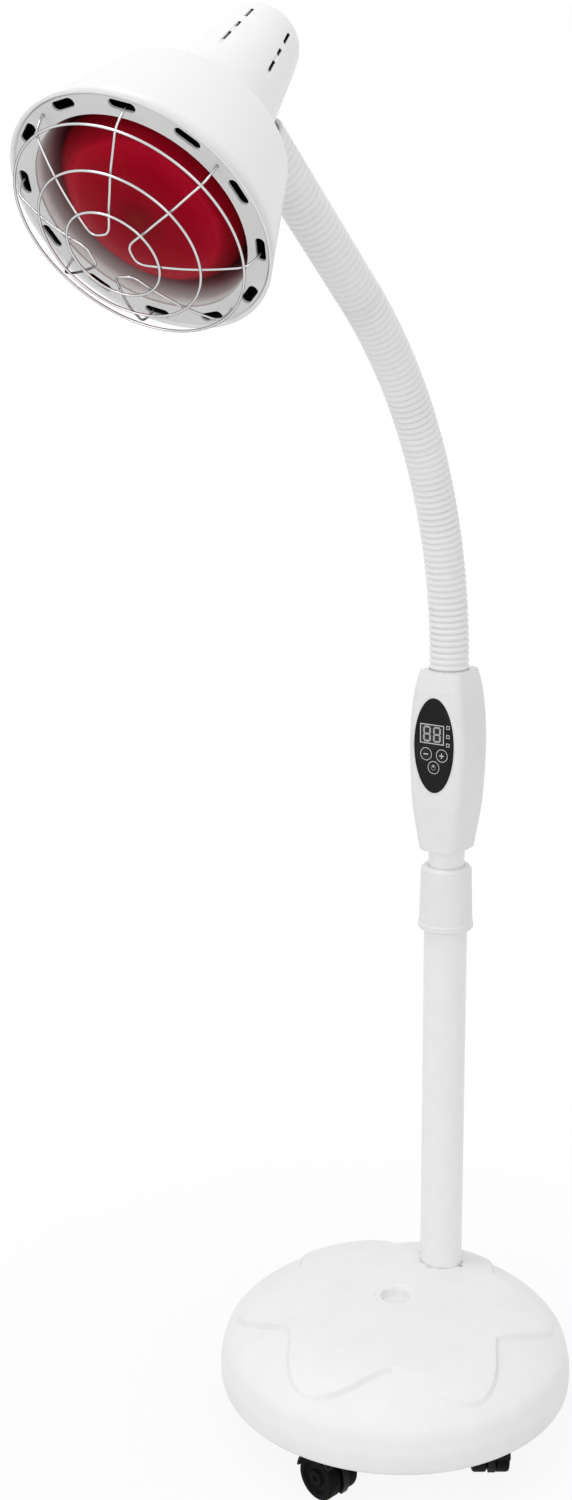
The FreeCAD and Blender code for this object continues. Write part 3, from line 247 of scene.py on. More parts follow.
def bar(
    name: str, path: Array, radius: float, finish: "Finish", closed: bool = False, sides: int = 10
) -> Piece:
    """A bent round wire: a circle carried along a path without twisting.

    The circle's first axis at a point is the last one's, less its part along the new direction. An open
    bar's ends close in a small dome.

    Args:
        name, finish: as for new_piece.
        path: (n, 3) points in metres.
        radius: of the wire.
        closed: the wire is a closed ring.
        sides: corners of the circle.

    Returns:
        The object.
    """
    step = np.roll(path, -1, 0) - np.roll(path, 1, 0) if closed else np.gradient(path, axis=0)
    along = step / np.linalg.norm(step, axis=1, keepdims=True)
    skew = (0.31, 0.52, 0.79)  # a direction along which no wire starts
    first = np.cross(along[0], skew)
    axes = []
    for direction in along:
        first = first - direction * (first @ direction)
        first = first / np.linalg.norm(first)
        axes.append(first)
    axes = np.array(axes)
    if closed:
        slip = math.atan2(float(np.cross(axes[-1], axes[0]) @ along[0]), float(axes[-1] @ axes[0]))
        turn = np.linspace(0, slip, len(path))[:, None]
        axes = axes * np.cos(turn) + np.cross(along, axes) * np.sin(turn)
    other = np.cross(along, axes)
    size = np.full(len(path), radius)
    if not closed:
        cap = np.array([0.0, 0.55, 0.85])  # shares of the radius in the dome
        beyond = radius * (1 - cap[:, None]) * 0.8
        path = np.concatenate([path[:1] - along[:1] * beyond, path, path[-1:] + along[-1:] * beyond[::-1]])
        axes = np.concatenate([axes[:1].repeat(3, 0), axes, axes[-1:].repeat(3, 0)])
        other = np.concatenate([other[:1].repeat(3, 0), other, other[-1:].repeat(3, 0)])
        size = np.concatenate([radius * cap, size, radius * cap[::-1]])
    angle = around(sides)[None, :, None]
    ring = axes[:, None] * np.cos(angle) + other[:, None] * np.sin(angle)
    points = path[:, None] + ring * size[:, None, None]
    return new_piece(name, points, grid_quads(len(path), sides, closed), finish)


def plate(
    name: str, outline: Array, place: Frame3, low: float, high: float, finish: "Finish"
) -> Piece:
    """A flat plate: an outline extruded along the frame's third axis.

    Args:
        name, finish: as for new_piece.
        outline: (n, 2) points along the frame's first two axes, in metres.
        place: its frame.
        low, high: where it starts and ends.

    Returns:
        The object.
    """
    n = len(outline)
    points = np.concatenate([place.at(*outline.T, height) for height in (low, high)])
    here = np.arange(n)
    after = np.roll(here, -1)
    sides = np.stack([here, after, after + n, here + n], -1)
    faces = sides.tolist() + [list(range(n))[::-1], list(range(n, 2 * n))]
    return new_piece(name, points, faces, finish, flat=True)


def joined(name: str, parts: Sequence[Piece]) -> Piece:
    """Makes one piece of several that share a finish, by stacking their points and faces.

    Args:
        name: the new piece's name.
        parts: the pieces, which are discarded.

    Returns:
        The object.
    """
    points, faces, count = [], [], 0
    for part in parts:
        co = np.empty(len(part.data.vertices) * 3)
        part.data.vertices.foreach_get("co", co)
        points.append(co.reshape(-1, 3))
        faces += [[v + count for v in p.vertices] for p in part.data.polygons]
        count += len(part.data.vertices)
    smooth = [p.use_smooth for part in parts for p in part.data.polygons]
    mesh = mesh_of(name, np.concatenate(points), faces, parts[0].data.materials[0])
    mesh.polygons.foreach_set("use_smooth", smooth)
    for part in parts:
        bpy.data.objects.remove(part)
    return linked(name, mesh)


# ---- shader groups
class Graph:
    """Adds nodes to a node tree, setting and linking their sockets by name."""

    def __init__(self, tree: Group) -> None:
        """Keeps the tree that is being drawn."""
        self.tree = tree

    def node(self, kind: str, inputs: dict[Any, Any] | None = None, **props: Any) -> bpy.types.Node:
        """Adds a node.

        Args:
            kind: the node's type.
            inputs: socket name or number to a value or to another node's output.
            props: the node's own settings.

        Returns:
            The node.
        """
        made = self.tree.nodes.new(kind)
        for key, value in props.items():
            setattr(made, key, value)
        for key, value in (inputs or {}).items():
            if isinstance(value, Socket):
                self.tree.links.new(value, made.inputs[key])
            else:
                made.inputs[key].default_value = value
        return made

    def maths(self, operation: str, a: Any, b: Any = 0.0, clamp: bool = False) -> Socket:
        """One Math node of two terms; returns its output."""
        return self.node("ShaderNodeMath", {0: a, 1: b}, operation=operation, use_clamp=clamp).outputs[0]

    def mix(self, amount: Any, a: Any, b: Any) -> Socket:
        """Mixes two colours; returns the colour."""
        return self.node("ShaderNodeMix", {0: amount, 6: a, 7: b}, data_type="RGBA").outputs[2]

    def span(
        self, value: Any, low: float, high: float, to_low: float = 0.0, to_high: float = 1.0
    ) -> Socket:
        """Maps a value from one range to another, clamped; returns the result."""
        inputs = {0: value, 1: low, 2: high, 3: to_low, 4: to_high}
        return self.node("ShaderNodeMapRange", inputs, interpolation_type="SMOOTHSTEP").outputs[0]

    def noise(self, where: Any, scale: Any, detail: float, rough: float = 0.5) -> Socket:
        """A noise texture; returns its value, 0 to 1."""
        inputs = {"Vector": where, "Scale": scale, "Detail": detail, "Roughness": rough}
        return self.node("ShaderNodeTexNoise", inputs).outputs[0]

    def ramp(self, amount: Any, stops: Sequence[tuple[float, Colour]]) -> Socket:
        """Runs an amount through a colour ramp.

        Args:
            amount: what picks the colour, 0 to 1.
            stops: (place, colour) pairs in rising order.

        Returns:
            The colour.
        """
        made = self.node("ShaderNodeValToRGB", {0: amount})
        elements = made.color_ramp.elements
        for spot, (place, tone) in enumerate(stops):
            stop = elements[spot] if spot < 2 else elements.new(place)
            stop.position = place
            stop.color = (*tone, 1.0)
        return made.outputs[0]

    def from_point(self, where: Any, point: Place, direction: Place) -> tuple[Any, Any]:
        """Measures from a point.

        Args:
            where: the coordinates.
            point: where the vector starts.
            direction: unit vector that it is measured along.

        Returns:
            The vector, and its length along the direction.
        """
        away = self.node("ShaderNodeVectorMath", {0: where, 1: point}, operation="SUBTRACT").outputs[0]
        along = self.node("ShaderNodeVectorMath", {0: away, 1: direction}, operation="DOT_PRODUCT").outputs[1]
        return away, along

    def seen(self) -> Socket:
        """Tells the rays that are seen, straight or by metal and glass, from those that light.

        Returns:
            1 for the first, 0 for the others.
        """
        rays = self.node("ShaderNodeLightPath").outputs
        direct = self.maths("MAXIMUM", rays["Is Camera Ray"], rays["Is Glossy Ray"])
        return self.maths("MAXIMUM", direct, rays["Is Transmission Ray"])


def clean_graph(owner: Any) -> Graph:
    """Turns on a material's or a world's nodes and clears them.

    Args:
        owner: the material or world.

    Returns:
        Its graph.
    """
    owner.use_nodes = True
    owner.node_tree.nodes.clear()
    return Graph(owner.node_tree)


def new_group(
    name: str, inputs: dict[str, tuple[str, float]], outputs: Sequence[str]
) -> tuple[Group, Graph, Any, Any]:
    """Starts a shader node group with named sockets.

    Args:
        name: the group's name.
        inputs: socket name to its kind and default.
        outputs: names of the value outputs.

    Returns:
        The group, its graph, and the nodes of its inputs and outputs.
    """
    tree = bpy.data.node_groups.new(name, "ShaderNodeTree")
    for label, (kind, default) in inputs.items():
        socket = tree.interface.new_socket(label, in_out="INPUT", socket_type=f"NodeSocket{kind}")
        if kind == "Float":
            socket.default_value = default
    for label in outputs:
        tree.interface.new_socket(label, in_out="OUTPUT", socket_type="NodeSocketFloat")
    graph = Graph(tree)
    return tree, graph, graph.node("NodeGroupInput").outputs, graph.node("NodeGroupOutput").inputs


@cache
def surface_grain() -> Group:
    """Fine grain over slow unevenness: Height for a bump and Tone for colour and gloss, both 0 to 1.

    Returns:
        The node group.
    """
    sockets = {"Vector": ("Vector", 0), "Scale": ("Float", 900)}
    tree, g, given, out = new_group("surface_grain", sockets, ("Height", "Tone"))
    fine = g.noise(given["Vector"], given["Scale"], 3.0)
    slow = g.noise(given["Vector"], g.maths("MULTIPLY", given["Scale"], 0.03), 2.0)
    height = g.maths("ADD", g.maths("MULTIPLY", fine, 0.6), g.maths("MULTIPLY", slow, 0.4))
    tree.links.new(height, out["Height"])
    tree.links.new(g.span(slow, 0.3, 0.7), out["Tone"])
    return tree


@cache
def handling_marks() -> Group:
    """Sparse smudges and hairline scuffs where hands and cloths touch: Mask, 0 to Amount.

    Returns:
        The node group.
    """
    sockets = {"Vector": ("Vector", 0), "Scale": ("Float", 22), "Amount": ("Float", 0.3)}
    tree, g, given, out = new_group("handling_marks", sockets, ("Mask",))
    patch = g.noise(given["Vector"], given["Scale"], 6.0, 0.65)
    stretch = {"Vector": given["Vector"], "Scale": (14.0, 14.0, 1.2), "Rotation": (0.3, 0.2, 0.0)}
    stretched = g.node("ShaderNodeMapping", stretch).outputs[0]
    hair = g.noise(stretched, g.maths("MULTIPLY", given["Scale"], 4.0), 2.0)
    both = g.maths("ADD", g.span(patch, 0.52, 0.72), g.span(hair, 0.68, 0.8, 0.0, 0.5), True)
    tree.links.new(g.maths("MULTIPLY", both, given["Amount"]), out["Mask"])
    return tree


@cache
def settled_dust() -> Group:
    """A thin film of dust that lies on what faces up: Mask, 0 to Amount.

    Returns:
        The node group.
    """
    sockets = {"Vector": ("Vector", 0), "Normal": ("Vector", 0), "Amount": ("Float", 0.2)}
    tree, g, given, out = new_group("settled_dust", sockets, ("Mask",))
    up = g.node("ShaderNodeSeparateXYZ", {0: given["Normal"]}).outputs[2]
    speck = g.noise(given["Vector"], 160.0, 5.0, 0.7)
    film = g.maths("MULTIPLY", g.span(up, 0.35, 0.95), g.span(speck, 0.35, 0.75))
    tree.links.new(g.maths("MULTIPLY", film, given["Amount"]), out["Mask"])
    return tree


# ---- finishes
SMUDGE = (0.46, 0.45, 0.43, 1.0)
DUST = (0.62, 0.60, 0.57, 1.0)
BLACK = (0.0, 0.0, 0.0, 1.0)
SMUDGE_TINTS, SMUDGE_DULLS = 0.12, 0.18
TONE_DULLS, DUST_DULLS = 0.05, 0.3
BUMP_STRENGTH = 0.8
COAT_ROUGHNESS = 0.06


class Make(Enum):
    """The kinds of stock that the lamp is made of."""

    PLASTIC = "plastic"
    PAINT = "paint"
    METAL = "metal"


@dataclass(frozen=True)
class Finish:
    """One finish: a colour with its own grain, unevenness, marks and dust.

    Attributes:
        name: the material's name.
        colour: its main colour, linear.
        roughness: how dull it is.
        make: plastic, paint or metal.
        shade: how much darker the uneven tone gets.
        grain: grain features per metre.
        relief: depth of the grain in metres.
        marks: strength of the handling marks.
        dust: strength of the dust.
        coat: weight of a clear gloss coat.
        specular: strength of the plain reflection.
    """

    name: str
    colour: Colour
    roughness: float
    make: Make = Make.PLASTIC
    shade: float = 0.03
    grain: float = 900.0
    relief: float = 0.00002
    marks: float = 0.25
    dust: float = 0.10
    coat: float = 0.0
    specular: float = 0.5

    def tint(self, g: Graph, coords: bpy.types.Node) -> Any:
        """The clean colour before marks and dust; a finish with a pattern draws it here."""
        return (*self.colour, 1.0)

    def extra(self, shader: bpy.types.Node) -> None:
        """Sets the shader's further constant values, none on a plain finish."""

    def material(self) -> bpy.types.Material:
        """Returns the material, made at the first call."""
        return _material(self)


@cache
def _material(finish: Finish) -> bpy.types.Material:
    """Draws a finish's nodes: grain, marks and dust feed colour, roughness and bump of one shader.

    Args:
        finish: the finish.

    Returns:
        Its material.
    """
    made = bpy.data.materials.new(finish.name)
    g = clean_graph(made)
    coords = g.node("ShaderNodeTexCoord")
    where = coords.outputs["Object"]
    grain = g.node("ShaderNodeGroup", {"Vector": where, "Scale": finish.grain}, node_tree=surface_grain())
    given = {"Vector": where, "Amount": finish.marks}
    marks = g.node("ShaderNodeGroup", given, node_tree=handling_marks()).outputs["Mask"]
    given = {"Vector": where, "Normal": coords.outputs["Normal"], "Amount": finish.dust}
    dust = g.node("ShaderNodeGroup", given, node_tree=settled_dust()).outputs["Mask"]
    tone = grain.outputs["Tone"]
    toned = g.mix(g.maths("MULTIPLY", tone, finish.shade), finish.tint(g, coords), BLACK)
    rubbed = g.mix(g.maths("MULTIPLY", marks, SMUDGE_TINTS), toned, SMUDGE)
    worn = g.maths("ADD", g.maths("MULTIPLY", marks, SMUDGE_DULLS), g.maths("MULTIPLY", tone, TONE_DULLS))
    dull = g.maths("MULTIPLY", dust, DUST_DULLS)
    relief = {"Height": grain.outputs["Height"], "Strength": BUMP_STRENGTH, "Distance": finish.relief}
    shader = g.node("ShaderNodeBsdfPrincipled", {
        "Base Color": g.mix(dust, rubbed, DUST),
        "Roughness": g.maths("ADD", g.maths("ADD", worn, finish.roughness), dull, True),
        "Normal": g.node("ShaderNodeBump", relief).outputs[0],
        "Metallic": float(finish.make is Make.METAL),
        "Specular IOR Level": finish.specular,
        "Coat Weight": finish.coat,
        "Coat Roughness": COAT_ROUGHNESS,
    })
    finish.extra(shader)
    g.node("ShaderNodeOutputMaterial", {"Surface": shader.outputs[0]}, is_active_output=True)
    return made


BULB_RADIUS = 0.0625
# red by share of the bulb's radius: the lighter ring at 0.80 is a painted highlight, the darker stops beyond
# it are painted shade
BULB_REDS_AND_PAINTED_LIGHT = (
    (0.0, (0.21, 0.012, 0.008)), (0.13, (0.21, 0.002, 0.008)), (0.30, (0.29, 0.001, 0.010)),
    (0.62, (0.33, 0.001, 0.012)), (0.80, (0.42, 0.004, 0.020)), (0.86, (0.28, 0.001, 0.010)),
    (1.0, (0.19, 0.001, 0.006)),
)
REFLECTOR_DEPTH = 0.05
# grey to dark red by depth inside the reflector: painted reflection of the red bulb and painted shade
REFLECTOR_PAINTED_LIGHT_TONES = (
    (0.06, (0.74, 0.73, 0.73)), (0.24, (0.56, 0.50, 0.50)), (0.40, (0.36, 0.15, 0.165)),
    (0.58, (0.26, 0.03, 0.045)), (1.0, (0.06, 0.004, 0.008)),
)


@dataclass(frozen=True)
class ChromeWire(Finish):
    """Bright drawn wire: its middle mirrors the pale room; its rounded sides get a painted dark reflection.
    """

    def tint(self, g: Graph, coords: bpy.types.Node) -> Any:
        """The plain colour where the wire faces the viewer, turning to a painted dark reflection in dark grey
        towards its outline.
        """
        # painted reflection: the base colour turns dark grey as the surface turns away from the viewer
        facing = g.node("ShaderNodeLayerWeight", {"Blend": 0.5}).outputs["Facing"]
        return g.mix(g.span(facing, 0.35, 0.9), (*self.colour, 1.0), (0.07, 0.07, 0.075, 1.0))

    def extra(self, shader: bpy.types.Node) -> None:
        """Keeps the outline from turning bright again at a grazing angle."""
        shader.inputs["Specular Tint"].default_value = (0.2, 0.2, 0.2, 1.0)


@dataclass(frozen=True)
class BulbRed(Finish):
    """The bulb's red coat: deep red, with a painted highlight ring and painted shade towards the edge, and
    darker where the filament's mount shows through.

    Attributes:
        centre: the middle of the bulb's face, in metres.
        facing: unit vector out of the face.
    """

    centre: Place = (0.0, 0.0, 0.0)
    facing: Place = (0.0, -1.0, 0.0)

    def tint(self, g: Graph, coords: bpy.types.Node) -> Any:
        """Rings round the face's middle: distance from the axis picks the red, with a painted highlight ring
        and painted shade at the edge; the cone behind the face gets near-black painted shade.

        Args:
            g: the material's graph.
            coords: its coordinates.

        Returns:
            The colour.
        """
        where = coords.outputs["Object"]
        away, along = g.from_point(where, self.centre, self.facing)
        length = g.node("ShaderNodeVectorMath", {0: away}, operation="LENGTH").outputs[1]
        square = g.maths("SUBTRACT", g.maths("MULTIPLY", length, length), g.maths("MULTIPLY", along, along))
        radius = g.maths("SQRT", g.maths("MAXIMUM", square, 0.0))
        cloud = g.maths("SUBTRACT", g.noise(where, 26.0, 3.0), 0.5)
        radius = g.maths("ADD", radius, g.maths("MULTIPLY", cloud, 0.010))
        red = g.ramp(g.maths("MULTIPLY", radius, 1 / BULB_RADIUS), BULB_REDS_AND_PAINTED_LIGHT)
        # painted shade: the glass behind the face turns near black
        behind = g.span(along, -0.030, -0.018, 1.0, 0.0)
        return g.mix(behind, red, (0.006, 0.004, 0.004, 1.0))

    def extra(self, shader: bpy.types.Node) -> None:
        """What little the coat reflects is red too."""
        shader.inputs["Specular Tint"].default_value = (1.0, 0.45, 0.45, 1.0)


@dataclass(frozen=True)
class ReflectorPaintedLight(Finish):
    """The reflector's satin metal, with a painted red reflection of the bulb and painted shade deeper inside.

    Attributes:
        mouth: a point on the mouth's plane.
        inward: unit vector from the mouth to the back.
    """

    mouth: Place = (0.0, 0.0, 0.0)
    inward: Place = (0.0, 1.0, 0.0)

    def tint(self, g: Graph, coords: bpy.types.Node) -> Any:
        """Depth behind the mouth runs from the ring plate's grey through rose to a dark red: painted
        reflection of the red bulb and painted shade.
        """
        _, depth = g.from_point(coords.outputs["Object"], self.mouth, self.inward)
        return g.ramp(g.maths("MULTIPLY", depth, 1 / REFLECTOR_DEPTH), REFLECTOR_PAINTED_LIGHT_TONES)


WHITE: Colour = (0.86, 0.86, 0.86)
COVER_PLASTIC = Finish(
    "cover_plastic", WHITE, 0.42, shade=0.02, grain=1400.0, relief=0.00003, dust=0.03, marks=0.2,
)
POWDER_COAT = Finish(
    "pole_powder_coat", WHITE, 0.36, Make.PAINT, shade=0.02, grain=2200.0, relief=0.00004, marks=0.2,
    coat=0.15,
)
SHELL_PLASTIC = Finish(
    "shell_plastic", (0.81, 0.81, 0.81), 0.38, shade=0.02, grain=1800.0, relief=0.00002, marks=0.3,
)
HOSE_PLASTIC = Finish(
    "hose_plastic", (0.85, 0.85, 0.845), 0.45, shade=0.03, grain=700.0, relief=0.00003, marks=0.15,
    dust=0.06,
)
HOOD_ENAMEL = Finish(
    "hood_enamel", (0.87, 0.87, 0.87), 0.34, Make.PAINT, shade=0.015, grain=420.0, relief=0.00003,
    marks=0.2, coat=0.2, dust=0.03,
)
# painted shade: a near-black finish for the inside of the hood, where only shade falls
HOOD_PAINTED_SHADE = Finish(
    "hood_inside_black", (0.012, 0.012, 0.012), 0.7, Make.PAINT, shade=0.2, relief=0.00008, dust=0.0,
)
# painted shade: a grey darker than the hood's white enamel stands for the shade on the white ring plate
RING_PAINTED_SHADE_ENAMEL = Finish(
    "ring_enamel_painted_shade", (0.72, 0.72, 0.715), 0.4, Make.PAINT, shade=0.04, grain=600.0, relief=0.00003,
    marks=0.3, dust=0.0,
)
CHROME_WIRE = ChromeWire(
    "chrome_wire", (0.70, 0.69, 0.70), 0.16, Make.METAL, shade=0.05, grain=1600.0, relief=0.00001,
    marks=0.5, dust=0.02,
)
BLACK_NYLON = Finish(
    "black_nylon", (0.005, 0.005, 0.005), 0.4, shade=0.25, grain=1500.0, relief=0.00004, marks=0.1,
    dust=0.004, specular=0.14,
)
BLACK_TREAD = Finish(
    "black_tread", (0.005, 0.005, 0.005), 0.6, shade=0.3, grain=1100.0, relief=0.00006, marks=0.15,
    dust=0.0, specular=0.06,
)
PANEL_GLOSS = Finish(
    "panel_satin_black", (0.008, 0.008, 0.008), 0.3, shade=0.2, grain=2600.0, relief=0.000008,
    marks=0.2, dust=0.0, specular=0.15,
)
PANEL_PRINT = Finish(
    "panel_print_white", (0.80, 0.80, 0.80), 0.45, shade=0.1, grain=4000.0, relief=0.000005, dust=0.0,
)
DIGIT_GREY = Finish(
    "digit_grey", (0.42, 0.42, 0.42), 0.3, shade=0.15, grain=5000.0, relief=0.000005, dust=0.0,
)
DISPLAY_GLASS = Finish(
    "display_window", (0.03, 0.03, 0.03), 0.2, shade=0.2, grain=3000.0, relief=0.000004, dust=0.0,
    specular=0.2,
)
BUTTON_GLOSS = Finish(
    "button_black", (0.014, 0.014, 0.014), 0.34, shade=0.2, grain=2800.0, relief=0.00002, marks=0.2,
    dust=0.0, specular=0.15,
)
ZINC = Finish(
    "zinc_plated_steel", (0.58, 0.59, 0.60), 0.34, Make.METAL, shade=0.15, grain=1200.0, relief=0.00003,
    marks=0.6,
)
CAST_IRON = Finish(
    "cast_iron", (0.045, 0.045, 0.048), 0.75, Make.PAINT, shade=0.4, grain=350.0, relief=0.0003,
    marks=0.4,
)
BRASS_CAP = Finish(
    "plated_cap", (0.72, 0.66, 0.48), 0.28, Make.METAL, shade=0.2, grain=1500.0, relief=0.00002,
    marks=0.6,
)
CERAMIC = Finish(
    "glazed_ceramic", (0.80, 0.78, 0.74), 0.25, shade=0.06, grain=300.0, relief=0.00003, coat=0.3,
)
GUIDE_NYLON = Finish("guide_nylon", (0.10, 0.10, 0.10), 0.5, shade=0.15, grain=900.0, relief=0.00003)
BOARD_GREEN = Finish("board_lacquer", (0.02, 0.12, 0.05), 0.35, shade=0.3, grain=500.0, relief=0.00004)
MODULE_BLACK = Finish("module_case", (0.02, 0.02, 0.02), 0.5, shade=0.25, grain=1000.0, relief=0.00004)
FILAMENT = Finish(
    "filament_wire", (0.35, 0.34, 0.33), 0.35, Make.METAL, shade=0.2, grain=3000.0, relief=0.00001,
    dust=0.0,
)

FINISHED_NODES: tuple[tuple[Finish, str], ...] = (
    (COVER_PLASTIC, "base_cover"),
    (CAST_IRON, "counterweight"),
    (ZINC, "base_plate base_screws pole_socket socket_bolts pole_set_screw caster_stems"),
    (ZINC, "board_screws box_screws pole_clamp_screw bracket_screws tilt_bolt holder_strap holder_screws"),
    (POWDER_COAT, "outer_pole inner_pole"),
    (SHELL_PLASTIC, "lock_collar box_front box_back neck_ferrule"),
    (GUIDE_NYLON, "guide_bush inner_pole_foot"),
    (PANEL_GLOSS, "panel"),
    (DISPLAY_GLASS, "display indicator_lamps"),
    (BUTTON_GLOSS, "button_left button_right button_lower"),
    (BOARD_GREEN, "circuit_board"),
    (MODULE_BLACK, "power_module cord_gland"),
    (HOSE_PLASTIC, "neck_base"),
    (HOOD_ENAMEL, "hood_bracket"),
    (RING_PAINTED_SHADE_ENAMEL, "vent_ring"),
    (BRASS_CAP, "bulb_cap"),
    (FILAMENT, "bulb_filament"),
    (CERAMIC, "lamp_holder"),
    (BLACK_NYLON, " ".join(f"caster_{n}_hood" for n in range(1, 6))),
    (BLACK_TREAD, " ".join(f"caster_{n}_wheels" for n in range(1, 6))),
)
NODE_FINISH = {node: finish for finish, nodes in FINISHED_NODES for node in nodes.split()}


# ---- sub-assemblies
def joint_place(name: str) -> Array:
    """A joint's point in metres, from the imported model."""
    return np.array(next(j for j in frame["joints"] if j["name"] == name)["pos_m"], float)


@dataclass
class Assembly:
    """A group of pieces that are built together and reported one by one.

    Attributes:
        title: what the log calls it.
        pieces: what has been built so far.
    """

    title: str = "assembly"
    pieces: list[Piece] = field(default_factory=list)

    def add(self, piece: Piece, body: str, slot: str, *replaced: str) -> None:
        """Lets a piece ride on the body that it moves with, and notes it."""
        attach(piece, body)
        self.note(piece, slot, *replaced)

    def note(self, piece: Piece, slot: str, *replaced: str) -> None:
        """Hides the nodes that a piece stands for, keeps the piece and reports it.

        Args:
            piece: the new piece, which rides on a body when add has attached it.
            slot: the record's material slot; not used.
            replaced: CAD nodes that it stands for.
        """
        if replaced:
            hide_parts(*replaced)
        self.pieces.append(piece)
        LOG.info("%s: %s, %d faces", self.title, piece.name, len(piece.data.polygons))


@dataclass
class BaseCover(Assembly):
    """The moulded cover: a domed disc with six raised petals, a hub recess and the pole's hole.

    Attributes:
        cusp, reach: radius of the petals' cusps, and how far their tips stand out beyond it.
        edge: width of the rounded step at a petal's edge.
        disc: the plain disc's (radius, height) points from the flat to the skirt's edge.
        crown: the petals' own surface, (radius, height).
        inside: the hollow underside, (radius, height) from the skirt's edge to the middle.
        hub, hub_ring: radius and depth of the recess in the middle and of the ring round it.
        hub_edge: width of the rounded steps of both.
        pole_y, pole_hole, notch: place and radius of the pole's hole, and depth of its two notches.
        hole_span, notch_low: heights between which the hole is cut, and where the notches begin.
        turns: steps of the circle.
    """

    title: str = "base cover"
    cusp: float = 98.0
    reach: float = 35.0
    edge: float = 1.4
    disc: Outline = (
        (0, 50), (98, 50), (105, 47.6), (112, 44.6), (118, 41.9), (124, 38.8), (130, 35.0), (135, 31.0),
        (139, 27.2), (142, 23.5), (144, 18.6), (145.2, 14), (146.3, 9), (147, 5), (147, -3), (146.7, -8.5),
        (146, -10),
    )
    crown: Outline = ((0, 59.4), (58.8, 58.3), (98, 54), (115.5, 47.4), (133, 36.9), (145, 20.6))
    inside: Outline = (
        (143, -10), (143.8, -6), (144, 0), (142.4, 12), (136, 25), (118, 38), (98, 46), (60, 46), (0, 46),
    )
    hub: tuple[float, float] = (11.9, 7.0)
    hub_ring: tuple[float, float] = (17.0, 0.8)
    hub_edge: float = 0.8
    pole_y: float = 77.0
    pole_hole: float = 18.3
    notch: float = 3.0
    hole_span: tuple[float, float] = (30.0, 70.0)
    notch_low: float = 44.0
    turns: int = 480

    def rise(self, r: Array, angle: Array, z: Array) -> Array:
        """Height over the disc: petals where the radius is inside r = cusp + reach (0.35 s + 0.65 s^2).

        s is |sin 3a|. Across the petal's edge the height changes as a smooth step, and the hub's recess and
        its ring are two more such steps.

        Args:
            r, angle: places on the disc.
            z: the plain disc's height there.

        Returns:
            The cover's height.
        """
        s = np.abs(np.sin(3 * angle))
        rim = self.cusp + self.reach * (0.35 * s + 0.65 * s * s)
        top = np.interp(r, *softened(self.crown, 2).T)
        z = z + (np.maximum(top, z) - z) * self.step(rim - r, self.edge)
        for radius, depth in (self.hub_ring, self.hub):
            z = z - depth * self.step(radius - r, self.hub_edge)
        return z

    def step(self, inside: Array, width: float) -> Array:
        """A smooth step over a width: 0 where inside is well below 0, 1 where it is well above."""
        t = np.clip(inside / width + 0.5, 0, 1)
        return t * t * (3 - 2 * t)

    def build(self) -> None:
        """Builds the cover's skin as one closed grid and cuts the pole's hole."""
        line = softened(self.disc, 2)
        # (from, to, count) of radii: close together at the hub's two steps and across the petals' edge
        spread = ((0, 10.9, 4), (11.2, 12.6, 6), (14, 16.2, 3), (16.5, 17.6, 5), (22, 90, 12), (93, 135, 75))
        flat = np.concatenate([np.linspace(*radii) for radii in spread])
        rising = line[line[:, 0] < line[:, 0].max() - 1e-9]
        skirt = line[line[:, 0] > flat[-1] + 0.2]
        top = np.concatenate([np.stack([flat, np.interp(flat, *rising.T)], 1), skirt])
        profile = np.concatenate([top, np.array(self.inside, float)])
        angle = around(self.turns)[None, :]
        r = np.repeat(profile[:, :1], self.turns, 1)
        z = np.repeat(profile[:, 1:], self.turns, 1)
        outer = np.arange(len(profile))[:, None] < len(top)
        z = np.where(outer, self.rise(r, angle, z), z)
        points = np.stack([r * np.cos(angle), r * np.sin(angle), z], -1) * MM
        cover = new_piece("cover_moulding", points, grid_quads(len(profile), self.turns), COVER_PLASTIC)
        pole = Frame3((0, self.pole_y * MM, 0))
        low, high = self.hole_span
        hole = np.array([(0, low), (self.pole_hole, low), (self.pole_hole, high), (0, high)]) * MM
        carve(cover, revolve("pole_cut", hole, COVER_PLASTIC, pole, 72, loop=False))
        reach, half = self.pole_hole + self.notch, self.notch / 2
        outline = np.array([(-reach, -half), (reach, -half), (reach, half), (-reach, half)]) * MM
        carve(cover, plate("notch_cut", outline, pole, self.notch_low * MM, high * MM, COVER_PLASTIC))
        self.add(cover, "base", "white_cover", "base_cover")


